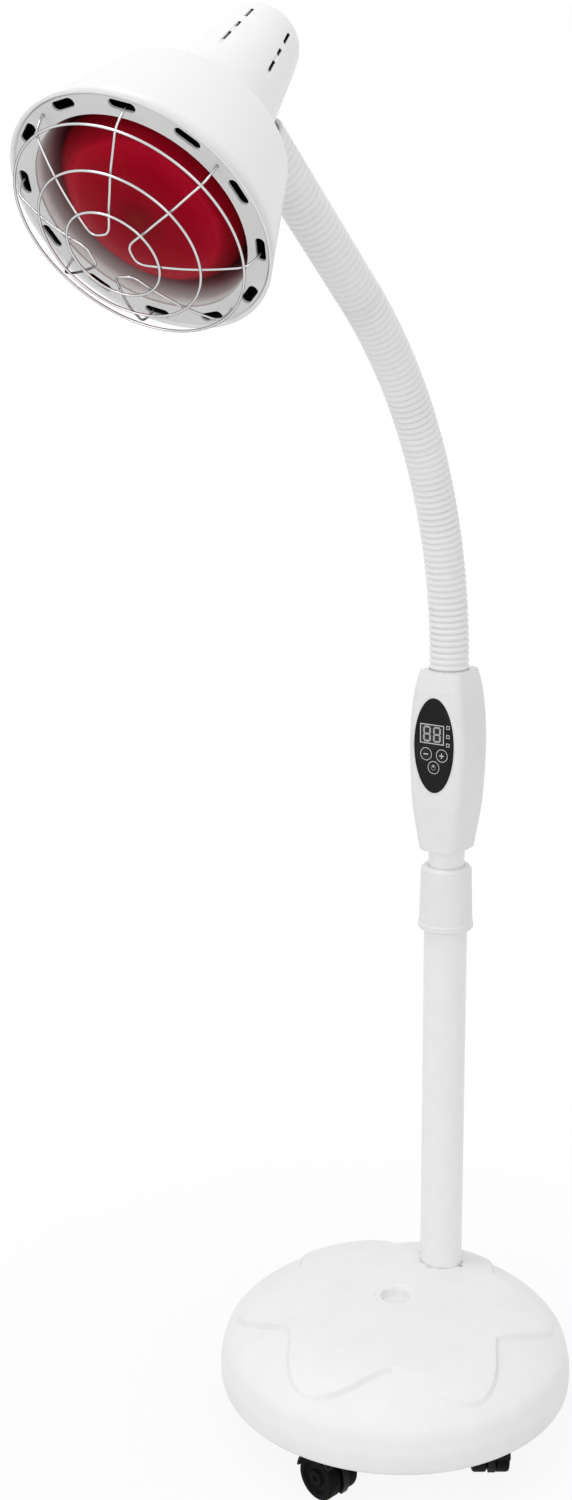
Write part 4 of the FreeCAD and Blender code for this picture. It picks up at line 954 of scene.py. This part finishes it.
@dataclass
class Gooseneck(Assembly):
    """The corrugated hose, in one sleeve for each joint, from the middle of a link to the next.

    Attributes:
        foot: where the hose leaves the control box.
        bend: radius of its bend; turn: angle of the bend, after which it runs straight.
        length: from the box to the top fitting.
        root: where the hose starts, inside the box's top.
        first, step: place of the first joint along it, and the distance between joints.
        crest: radius over the ridges; pitch: ridge to ridge; groove: depth of the grooves.
        wall: what is left under the grooves.
        cuff, cuff_wall: length and wall of the last stretch, beyond the top fitting.
        grip, margin: not used.
        sides, rows: corners of the hose's circle, and rows of points to a ridge.
        links: number of the neck's joints.
    """

    title: str = "gooseneck"
    foot: tuple[float, float] = (77.0, 583.0)
    bend: float = 382.0
    turn: float = 50.0
    length: float = 458.36
    root: float = -5.0
    first: float = 16.0
    step: float = 70.0596
    crest: float = 16.0
    pitch: float = 5.2
    groove: float = 2.4
    wall: float = 1.2
    cuff: float = 28.6
    cuff_wall: float = 0.5
    grip: float = 24.0
    margin: float = 0.4
    sides: int = 56
    rows: int = 10
    links: int = 7

    def line(self, s: Array) -> tuple[Array, Array]:
        """The centreline: an arc of the bend's radius towards the front, then its tangent.

        Args:
            s: distances along it.

        Returns:
            Points and unit directions, each (n, 3), in millimetres.
        """
        arc = math.radians(self.turn) * self.bend
        angle = math.radians(self.turn) * np.clip(s, 0, arc) / arc
        along = np.stack([0 * s, -np.sin(angle), np.cos(angle)], -1)
        y = self.foot[0] - self.bend * (1 - np.cos(angle))
        z = self.foot[1] + self.bend * np.sin(angle)
        place = np.stack([0 * s, y, z], -1)
        return place + along * (np.maximum(s - arc, 0) + np.minimum(s, 0))[:, None], along

    def sleeve(self, name: str, start: float, end: float, wall: float) -> Piece:
        """One closed sleeve: ridges outside, plain inside.

        The outer radius is crest - groove (1 - |sin(pi s / pitch)|)^1.6, so the ridges are broad and the
        grooves narrow; each ring stands square to the centreline.

        Args:
            name: the piece's name.
            start, end: distances along the hose.
            wall: what is left under the grooves.

        Returns:
            The object.
        """
        rows = max(3, round((end - start) / self.pitch * self.rows))
        out = np.linspace(start, end, rows)
        radius = self.crest - self.groove * (1 - np.abs(np.sin(np.pi * out / self.pitch))) ** 1.6
        back = np.linspace(end, start, max(3, rows // self.rows))
        s = np.concatenate([out, back])
        r = np.concatenate([radius, np.full(len(back), self.crest - self.groove - wall)])
        place, along = self.line(s)
        side = np.array([1.0, 0.0, 0.0])
        front = np.cross(along, side)
        angle = around(self.sides)[None, :, None]
        ring = side * np.cos(angle) + front[:, None] * np.sin(angle)
        points = (place[:, None] + ring * r[:, None, None]) * MM
        return new_piece(name, points, grid_quads(len(s), self.sides, wrap=True), HOSE_PLASTIC)

    def build(self) -> None:
        """Builds the seven sleeves, one round each joint, and the cuff between hose and head."""
        for number in range(1, self.links + 1):
            joint = self.first + self.step * (number - 1)
            start = self.root if number == 1 else joint - self.step / 2
            end = self.length if number == self.links else joint + self.step / 2
            piece = self.sleeve(f"hose_sleeve_{number}", start, end, self.wall)
            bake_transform(piece)
            self.note(piece, "white_hose", f"neck_link_{number}", *(("neck_base",) if number == 1 else ()))
        cuff = self.sleeve("hose_cuff", self.length, self.length + self.cuff, self.cuff_wall)
        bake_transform(cuff)
        self.note(cuff, "white_hose", "neck_ferrule")


@dataclass
class LampHead(Assembly):
    """The tilting head: hood, bulb, reflector and wire guard, all turned about one axis.

    Heights are distances behind the plane of the hood's rim, in millimetres.

    Attributes:
        drop: how far the lamp looks below the horizontal, in degrees.
        pivot_up, pivot_out: the tilt bolt's place behind the rim and beside the axis.
        shell: the hood's outer (radius, height) points from the rim to the back.
        wall: its thickness; ledge: height below which its inside keeps the white enamel and above which it
            gets painted shade.
        seat: (height, depth) of the rib that the ring plate rests on; lean: how the wall there narrows.
        slots: low and high ends of the neck's slots in one row; slot_rows: number of rows.
        slot_width, slot_turn: their width, and the first row's angle.
        slot_cut: distances from the axis between which they are cut.
        bowl, bowl_inside: the reflector's (radius, height) points outside and inside.
        glass, glass_inside: the bulb's, outside from the face's middle to the cap, and inside back again.
        rings: (radius, height before the rim) of the guard's rings; ring_wire, leg_wire: wire radii.
        leg: half of a bent wire, as (radius, angle, height): from its hook in the ring plate to its middle.
        turns, fine_turns: steps of the circle of what is inside the hood, and of the hood.
    """

    title: str = "lamp head"
    drop: float = 41.36
    pivot_up: float = 130.0
    pivot_out: float = 46.0
    shell: Outline = (
        (87.5, 0), (80.0, 22.9), (72.0, 47.4), (66.6, 64.0), (64.9, 69.0), (63.6, 72.8), (60.6, 76.3),
        (55.6, 78.5), (50.0, 79.6), (45.4, 80.8), (42.6, 82.4), (40.6, 85.2), (39.6, 90.0), (34.4, 121.0),
        (29.0, 154.0), (27.2, 164.2), (25.6, 171.0), (22.2, 177.4), (17.0, 181.6), (9.0, 183.0), (0, 183.0),
    )
    bowl: Outline = (
        (76.1, 2.6), (76.1, 3.6), (72.2, 4.0), (70.8, 16.0), (66.5, 30.0), (60.0, 44.0), (50.0, 61.0),
        (39.2, 75.5),
    )
    bowl_inside: Outline = ((38.2, 75.5), (49.0, 60.6), (59.0, 43.6), (65.5, 29.6), (69.8, 16.0), (71.0, 2.6))
    glass: Outline = (
        (0, -4.0), (18, -3.5), (32, -2.0), (42, 0.3), (46.6, 2.0), (47.6, 3.2), (48.8, 3.4), (52.5, 5.2),
        (57.2, 9.4), (60.8, 14.6), (62.3, 19.0), (62.4, 23.4), (60.9, 30.0), (57.0, 40.0), (50.3, 50.0),
        (36.0, 64.5), (22.6, 78.6), (19.0, 84.0), (17.6, 90.0), (17.5, 98.0), (14.6, 101.6), (13.2, 103.0),
    )
    glass_inside: Outline = (
        (12.0, 103.0), (16.0, 97.0), (16.2, 90.0), (21.0, 79.0), (48.0, 50.0), (60.6, 24.0), (55.0, 10.5),
        (40.0, 1.6), (0, -2.6),
    )
    wall: float = 2.0
    ledge: float = 3.0
    seat: Outline = ((4.2, 0.0), (4.2, 1.6), (2.6, 1.6), (2.6, 0.0))
    lean: float = 0.3266
    slots: Outline = ((124.0, 134.5), (141.0, 147.5), (154.0, 164.5))
    slot_rows: int = 6
    slot_width: float = 2.6
    slot_turn: float = -13.0
    slot_cut: tuple[float, float] = (15.0, 60.0)
    rings: Outline = ((76.4, 14.9), (53.8, 26.6), (30.8, 34.4))
    ring_wire: float = 0.84
    leg_wire: float = 0.76
    leg: tuple[Place, ...] = (
        (79.4, 23.0, 5.4), (79.4, 23.0, 0.5), (79.3, 23.0, -2.4), (76.5, 23.0, -12.6),
        (66.0, 23.2, -18.2), (53.8, 23.0, -24.35), (42.0, 23.4, -28.6), (30.8, 23.0, -32.1),
        (24.5, 23.6, -33.6), (19.6, 23.0, -34.7), (16.6, 17.5, -35.3), (15.6, 8.0, -35.6),
    )
    turns: int = 128
    fine_turns: int = 160

    def __post_init__(self) -> None:
        """Sets the head's frame from the tilt joint: the third axis runs to the back, the second outwards."""
        a = math.radians(self.drop)
        back = np.array([0.0, math.cos(a), math.sin(a)])
        out = np.array([0.0, back[2], -back[1]])
        rim = joint_place("head_tilt") - back * self.pivot_up * MM - out * self.pivot_out * MM
        self.place = Frame3(tuple(rim), (1.0, 0.0, 0.0), tuple(out), tuple(back))

    def hood(self) -> None:
        """The spun hood: outer line, then the same line moved inwards by the wall; slots cut in its neck."""
        outer = softened(self.shell, 2)
        step = np.gradient(outer, axis=0)
        normal = np.stack([step[:, 1], -step[:, 0]], 1)
        normal /= np.linalg.norm(normal, axis=1, keepdims=True)
        inner = (outer - normal * self.wall)[::-1]
        inner[:, 0] = np.maximum(inner[:, 0], 0)
        inner[-1] = (outer[0, 0] - self.wall, 0.0)
        seat = [(inner[-1, 0] - self.lean * height - depth, height) for height, depth in self.seat]
        inner = np.concatenate([inner[inner[:, 1] > 4.4], seat, inner[-1:]])
        profile = np.concatenate([outer, inner]) * MM
        hood = revolve("hood_shell", profile, HOOD_ENAMEL, self.place, self.fine_turns)
        cutters = []
        near, far = np.array(self.slot_cut) * MM
        r, angle = self.slot_width / 2, around(24)
        for turn in np.radians(self.slot_turn + 360 / self.slot_rows * np.arange(self.slot_rows)):
            side = self.place.polar(1.0, turn, 0.0) - np.array(self.place.origin)
            cross = np.cross(self.place.up, side)
            row = Frame3(self.place.origin, tuple(cross), self.place.up, tuple(side))
            for low, high in self.slots:
                middle = np.where(np.sin(angle) > 0, high - r, low + r)
                outline = np.stack([r * np.cos(angle), middle + r * np.sin(angle)], 1) * MM
                cutters.append(plate("slot_cut", outline, row, near, far, HOOD_PAINTED_SHADE))
        carve(hood, joined("slot_cuts", cutters))
        # painted shade: the hood's inside, seen through the vents, is near black
        self.paint_shade_side(hood, HOOD_ENAMEL, -1.0, self.ledge)
        self.add(hood, "head", "white_hood", "hood")

    def paint_shade_side(self, piece: Piece, finish: Finish, side: float, start: float) -> None:
        """Gives one side of a turned wall a near-black painted shade, the shade inside the hood.

        Args:
            piece: the turned piece.
            finish: the finish of its other side.
            side: 1 for the faces that look away from the axis, -1 for those that look to it.
            start: height in millimetres behind the rim at which the painted shade begins.
        """
        piece.data.materials.clear()
        piece.data.materials.append(finish.material())
        piece.data.materials.append(HOOD_PAINTED_SHADE.material())
        count = len(piece.data.polygons)
        centre, normal = np.empty(count * 3), np.empty(count * 3)
        piece.data.polygons.foreach_get("center", centre)
        piece.data.polygons.foreach_get("normal", normal)
        normal = normal.reshape(-1, 3)
        away = centre.reshape(-1, 3) - np.array(self.place.origin)
        up = np.array(self.place.up)
        height = away @ up
        radial = away - height[:, None] * up
        facing = side * (radial * normal).sum(1) > 0.2 * np.linalg.norm(radial, axis=1)
        facing |= side * (normal @ up) > 0.5
        facing &= height > start * MM
        piece.data.polygons.foreach_set("material_index", facing.astype(np.int32))
        piece.data.polygons.foreach_set("use_smooth", np.ones(count, bool))

    def reflector(self) -> None:
        """The reflector's bowl: front lip, curved wall, rear opening, one millimetre thick."""
        profile = np.concatenate([softened(side, 2) for side in (self.bowl, self.bowl_inside)])
        finish = ReflectorPaintedLight(
            "reflector_satin", REFLECTOR_PAINTED_LIGHT_TONES[0][1], 0.36, Make.PAINT, shade=0.04, grain=260.0,
            relief=0.00004, marks=0.25, dust=0.0, mouth=self.place.origin, inward=self.place.up,
        )
        bowl = revolve("reflector_bowl", profile * MM, finish, self.place, self.turns)
        # painted shade: the bowl's outer side, seen through the vents, is near black
        self.paint_shade_side(bowl, finish, 1.0, 2.0)
        self.add(bowl, "head", "reflector_white", "reflector")

    def bulb(self) -> None:
        """The reflector bulb: a shallow domed face with a moulded ring, rounded edge, cone and neck."""
        profile = np.concatenate([softened(self.glass, 2), np.array(self.glass_inside)])
        middle = self.place.at(0.0, 0.0, self.glass[0][1] * MM)
        finish = BulbRed(
            "bulb_red_glass", (0.3, 0.001, 0.007), 0.3, shade=0.08, grain=180.0, relief=0.00006, marks=0.1,
            dust=0.0, specular=0.04, centre=tuple(middle), facing=tuple(-np.array(self.place.up)),
        )
        glass = revolve("bulb_envelope", profile * MM, finish, self.place, self.turns)
        self.add(glass, "head", "bulb_red", "bulb_glass")

    def guard(self) -> None:
        """The wire guard: three rings on a dome, and four bent wires that turn back near the middle."""
        angle = around(120)
        parts = []
        for r, height in self.rings:
            path = self.place.polar(r * MM, angle, -height * MM)
            parts.append(bar("ring", path, self.ring_wire * MM, CHROME_WIRE, closed=True, sides=12))
        self.add(joined("guard_hoops", parts), "head", "guard_chrome", "guard_rings")
        size = self.leg_wire * MM
        parts = [bar("leg", self.leg_path(turn), size, CHROME_WIRE) for turn in (0, 90, 180, 270)]
        self.add(joined("guard_staves", parts), "head", "guard_chrome", "guard_wires")

    def leg_path(self, turn: float) -> Array:
        """One bent wire: in from a hook in the ring plate, over the dome, round and back out.

        The second half is the first one's mirror. Corner cutting rounds the bends.

        Args:
            turn: the wire's angle round the axis, in degrees.

        Returns:
            Its points in metres.
        """
        half = np.array(self.leg)
        full = np.concatenate([half, half[::-1] * [1, -1, 1]])
        a = np.radians(full[:, 1] + turn)
        flat = np.stack([full[:, 0] * np.cos(a), full[:, 0] * np.sin(a), full[:, 2]], 1)
        return self.place.at(*(softened(flat, 3) * MM).T)

    def build(self) -> None:
        """Builds every piece of the head that the CAD nodes don't already show."""
        self.hood()
        self.reflector()
        self.bulb()
        self.guard()


@dataclass
class Panel(Assembly):
    """Printing and trim on the control box: the oval's rim, display digits, lamp marks, button rings.

    Places are (x, height) on the box's front, in millimetres.

    Attributes:
        face: y of the panel's face.
        middle: height of the oval's middle.
        half: the oval's half axes; bead, sink: radius of its rim, and how deep the rim's middle lies.
        display: the display's low and high x, low and high height; lamps, buttons: their places.
        digit_size, stroke: width and height of a figure, and width of its bars; pair: between two figures.
        frame_line: width of the display's frame; mark, mark_line: half a lamp mark's side, its line's width.
        printed: how far printing reaches into its face and out of it.
        press_depth: how far a button's face lies behind the panel's.
        button_ring: inner and outer radius of the ring round a button; small: share of it on a button.
        sign: half length and half width of a button's bar; short: low and high end of the upright one.
    """

    title: str = "control panel"
    face: float = 54.2
    middle: float = 523.5
    half: tuple[float, float] = (19.0, 39.8)
    bead: float = 0.6
    sink: float = 0.1
    display: tuple[float, float, float, float] = (-13.0, 9.0, 525.0, 541.0)
    lamps: Outline = ((12.7, 540.0), (12.7, 532.5), (12.7, 525.5))
    buttons: tuple[tuple[str, float, float], ...] = (
        ("button_left", -7.3, 516.1), ("button_right", 7.3, 516.1), ("button_lower", -0.2, 505.5),
    )
    digit_size: tuple[float, float] = (5.6, 11.6)
    stroke: float = 1.5
    pair: float = 9.2
    frame_line: float = 0.55
    mark: float = 1.5
    mark_line: float = 0.4
    printed: tuple[float, float] = (-0.02, 0.06)
    press_depth: float = 0.4
    button_ring: tuple[float, float] = (4.85, 5.3)
    small: float = 0.38
    sign: tuple[float, float] = (2.1, 0.35)
    short: tuple[float, float] = (0.2, 2.4)

    def front(self, y: float) -> Frame3:
        """A frame on the box's front: its axes run across, up, and out of the face."""
        return Frame3((0.0, y * MM, 0.0), (1.0, 0.0, 0.0), (0.0, 0.0, 1.0), (0.0, -1.0, 0.0))

    def frame_bars(
        self, low_x: float, high_x: float, low_z: float, high_z: float, width: float
    ) -> list[Array]:
        """Four thin bars round a rectangle.

        Args:
            low_x, high_x, low_z, high_z: the rectangle.
            width: of the bars, inside it.

        Returns:
            Their outlines.
        """
        return [
            self.block(low_x, high_x, low_z, low_z + width),
            self.block(low_x, high_x, high_z - width, high_z),
            self.block(low_x, low_x + width, low_z + width, high_z - width),
            self.block(high_x - width, high_x, low_z + width, high_z - width),
        ]

    def block(self, low_x: float, high_x: float, low_z: float, high_z: float) -> Array:
        """A rectangle's outline."""
        return np.array([(low_x, low_z), (high_x, low_z), (high_x, high_z), (low_x, high_z)])

    def digit(self, x: float, z: float) -> list[Array]:
        """The seven pointed bars of an unlit figure 8: three level ones, and four upright between them.

        Args:
            x, z: the figure's middle.

        Returns:
            The bars' outlines.
        """
        width, height = self.digit_size
        level = np.array([(-0.5, 0), (-0.38, 0.5), (0.38, 0.5), (0.5, 0), (0.38, -0.5), (-0.38, -0.5)])
        bars = [level * (width, self.stroke) + (x, z + k * height / 2) for k in (-1, 0, 1)]
        upright = level[:, ::-1] * (self.stroke, height / 2 - 0.5)
        bars += [upright + (x + sx * width / 2, z + sz * height / 4) for sx in (-1, 1) for sz in (-1, 1)]
        return bars

    def print_on(
        self, name: str, outlines: Sequence[Array], y: float, body: str, finish: Finish, slot: str
    ) -> None:
        """Lays thin printed plates on a face, as one piece.

        Args:
            name: the piece's name.
            outlines: the plates.
            y: place of the face.
            body: the body that it rides on.
            finish: the print's finish.
            slot: the record's material slot.
        """
        self.add(joined(name, self.prints(outlines, self.front(y), finish)), body, slot)

    def prints(self, outlines: Sequence[Array], place: Frame3, finish: Finish) -> list[Piece]:
        """Thin plates on a frame's face, one to an outline."""
        low, high = np.array(self.printed) * MM
        return [plate("print", outline * MM, place, low, high, finish) for outline in outlines]

    def build(self) -> None:
        """Builds the rim and all the printing."""
        a = around(128)
        height = self.middle + self.half[1] * np.sin(a)
        path = self.front(self.face - self.sink).at(self.half[0] * MM * np.cos(a), height * MM, 0.0)
        bead = bar("panel_bead", path, self.bead * MM, PANEL_PRINT, closed=True, sides=8)
        self.add(bead, "column", "panel_black")
        x0, x1, z0, z1 = self.display
        outlines = self.frame_bars(x0, x1, z0, z1, self.frame_line)
        self.print_on("display_frame", outlines, self.face, "column", PANEL_PRINT, "display_grey")
        places = ((x0 + x1 + side * self.pair) / 2 for side in (-1, 1))
        digits = [outline for x in places for outline in self.digit(x, (z0 + z1) / 2)]
        self.print_on("display_digits", digits, self.face, "column", DIGIT_GREY, "display_grey")
        marks = []
        for x, z in self.lamps:
            square = (x - self.mark, x + self.mark, z - self.mark, z + self.mark)
            marks += self.frame_bars(*square, self.mark_line)
        self.print_on("lamp_marks", marks, self.face, "column", PANEL_PRINT, "lamp_amber")
        for name, x, z in self.buttons:
            self.button(name, x, z)

    def button(self, name: str, x: float, z: float) -> None:
        """A printed ring round a button, and on it a plain sign: minus, plus, and a bar in a circle.

        Args:
            name: the button's node and body.
            x, z: its place.
        """
        at = (self.front(self.face), self.front(self.face - self.press_depth))
        on_panel, on_button = (Frame3((x * MM, p.origin[1], z * MM), p.across, p.out, p.up) for p in at)
        (near, far), (low, high) = self.button_ring, self.printed
        ring = np.array([(near, low), (far, low), (far, high), (near, high)]) * MM
        self.add(revolve(f"{name}_ring", ring, PANEL_PRINT, on_panel, 64), "column", "panel_black")
        long, thin = self.sign
        level, upright = self.block(-long, long, -thin, thin), self.block(-thin, thin, -long, long)
        short = self.block(-thin, thin, *self.short)
        signs = {"button_left": [level], "button_right": [level, upright], "button_lower": [short]}
        parts = self.prints(signs[name], on_button, PANEL_PRINT)
        if name == "button_lower":
            parts.append(revolve("print_ring", ring * (self.small, 1.0), PANEL_PRINT, on_button, 48))
        self.add(joined(f"{name}_print", parts), name, "button_black")


@dataclass
class CadNodes(Assembly):
    """The CAD nodes that stay in view, each with the finish of what it is made of."""

    title: str = "CAD nodes"

    def build(self) -> None:
        """Puts each node's finish in its material slots."""
        for name, node in frame["nodes"].items():
            finish = NODE_FINISH.get(name)
            if finish is None:
                continue
            if not node.data.materials:
                node.data.materials.append(finish.material())
            for slot in node.material_slots:
                slot.material = finish.material()
            LOG.info("%s: %s is %s", self.title, name, finish.name)


# ---- studio
@dataclass
class Studio:
    """The plain pale floor, the soft lights and the camera.

    Attributes:
        floor: the floor's height in metres.
        eye: the camera's place.
        right, up: the camera's axes.
        lens, sensor: focal length and width of the film, in millimetres.
        lamps: (name, place, size, watts) of each soft light; aim: the point that they look at.
        sky: strength of the even light from all round.
        grey: the floor's shade; fade: distances over which it turns to the background's white.
    """

    floor: float = -0.0503
    eye: Place = (0.7112, -1.1694, 0.8628)
    right: Place = (0.8201, 0.5721, -0.0073)
    up: Place = (-0.1289, 0.1972, 0.9719)
    lens: float = 43.2
    sensor: float = 36.0
    lamps: tuple[tuple[str, Place, float, float], ...] = (
        ("key", (-0.75, -2.0, 6.1), 2.6, 84.0),
        ("fill_left", (-0.6, -3.2, 1.3), 1.6, 12.0),
        ("fill_right", (2.7, -1.5, 1.5), 1.6, 8.0),
    )
    aim: Place = (0.0, 0.0, 0.5)
    sky: float = 0.77
    grey: float = 0.74
    fade: tuple[float, float] = (0.12, 0.7)

    def camera(self) -> None:
        """Makes the camera and turns it to its axes."""
        data = bpy.data.cameras.new("camera")
        data.lens = self.lens
        data.sensor_width = self.sensor
        data.clip_start, data.clip_end = 0.01, 50.0
        camera = linked("camera", data)
        right, up = Vector(self.right).normalized(), Vector(self.up)
        up = (up - right * up.dot(right)).normalized()
        turned = Matrix((right, up, right.cross(up))).transposed().to_4x4()
        camera.matrix_world = Matrix.Translation(self.eye) @ turned
        bpy.context.scene.camera = camera

    def ground(self) -> None:
        """A wide floor whose far parts fade to the white of the background, with the shadow kept."""
        r = np.concatenate([[0.0], np.geomspace(0.2, 9.0, 24)])
        angle = around(64)
        points = Frame3((0.0, 0.0, self.floor)).polar(r[:, None], angle[None, :], 0.0)
        material = bpy.data.materials.new("studio_floor")
        g = clean_graph(material)
        where = g.node("ShaderNodeTexCoord").outputs["Object"]
        away = g.node("ShaderNodeVectorMath", {0: where}, operation="LENGTH").outputs[1]
        blank = g.maths("MULTIPLY", g.seen(), g.span(away, *self.fade, 0.9, 1.0))
        matte = g.node("ShaderNodeBsdfDiffuse", {"Color": (self.grey, self.grey, self.grey, 1.0)})
        glow = g.node("ShaderNodeEmission", {"Color": (1.0, 1.0, 1.0, 1.0), "Strength": 1.0})
        both = g.node("ShaderNodeMixShader", {0: blank, 1: matte.outputs[0], 2: glow.outputs[0]})
        g.node("ShaderNodeOutputMaterial", {"Surface": both.outputs[0]})
        mesh = mesh_of("studio_floor", points, grid_quads(len(r), len(angle)), material)
        linked("studio_floor", mesh)

    def world(self) -> None:
        """An even pale sky for the object, plain white for what the camera, metal and glass see."""
        world = bpy.data.worlds.new("studio")
        g = clean_graph(world)
        soft = g.node("ShaderNodeBackground", {"Color": (1.0, 1.0, 1.0, 1.0), "Strength": self.sky})
        white = g.node("ShaderNodeBackground", {"Color": (1.0, 1.0, 1.0, 1.0), "Strength": 1.0})
        both = g.node("ShaderNodeMixShader", {0: g.seen(), 1: soft.outputs[0], 2: white.outputs[0]})
        g.node("ShaderNodeOutputWorld", {"Surface": both.outputs[0]})
        bpy.context.scene.world = world

    def lamp(self, name: str, place: Place, size: float, power: float) -> None:
        """A square soft light that looks at the middle of the object.

        Args:
            name: its name.
            place: where it hangs.
            size: its side in metres.
            power: its watts.
        """
        data = bpy.data.lights.new(name, "AREA")
        data.size = size
        data.energy = power
        light = linked(name, data)
        light.location = place
        light.rotation_mode = "QUATERNION"
        light.rotation_quaternion = (Vector(self.aim) - Vector(place)).to_track_quat("-Z", "Y")

    def build(self) -> None:
        """Sets up the whole studio and the colour handling."""
        self.camera()
        self.ground()
        self.world()
        for lamp in self.lamps:
            self.lamp(*lamp)
        bpy.context.scene.view_settings.view_transform = "Standard"


def main() -> None:
    """Builds the studio and each sub-assembly in order."""
    logging.basicConfig(level=logging.INFO, format="%(name)s %(message)s")
    Studio().build()
    for part in (CadNodes(), BaseCover(), Gooseneck(), LampHead(), Panel()):
        part.build()
        LOG.info("%s done, %d new pieces", part.title, len(part.pieces))


if __name__ == "__main__":
    main()
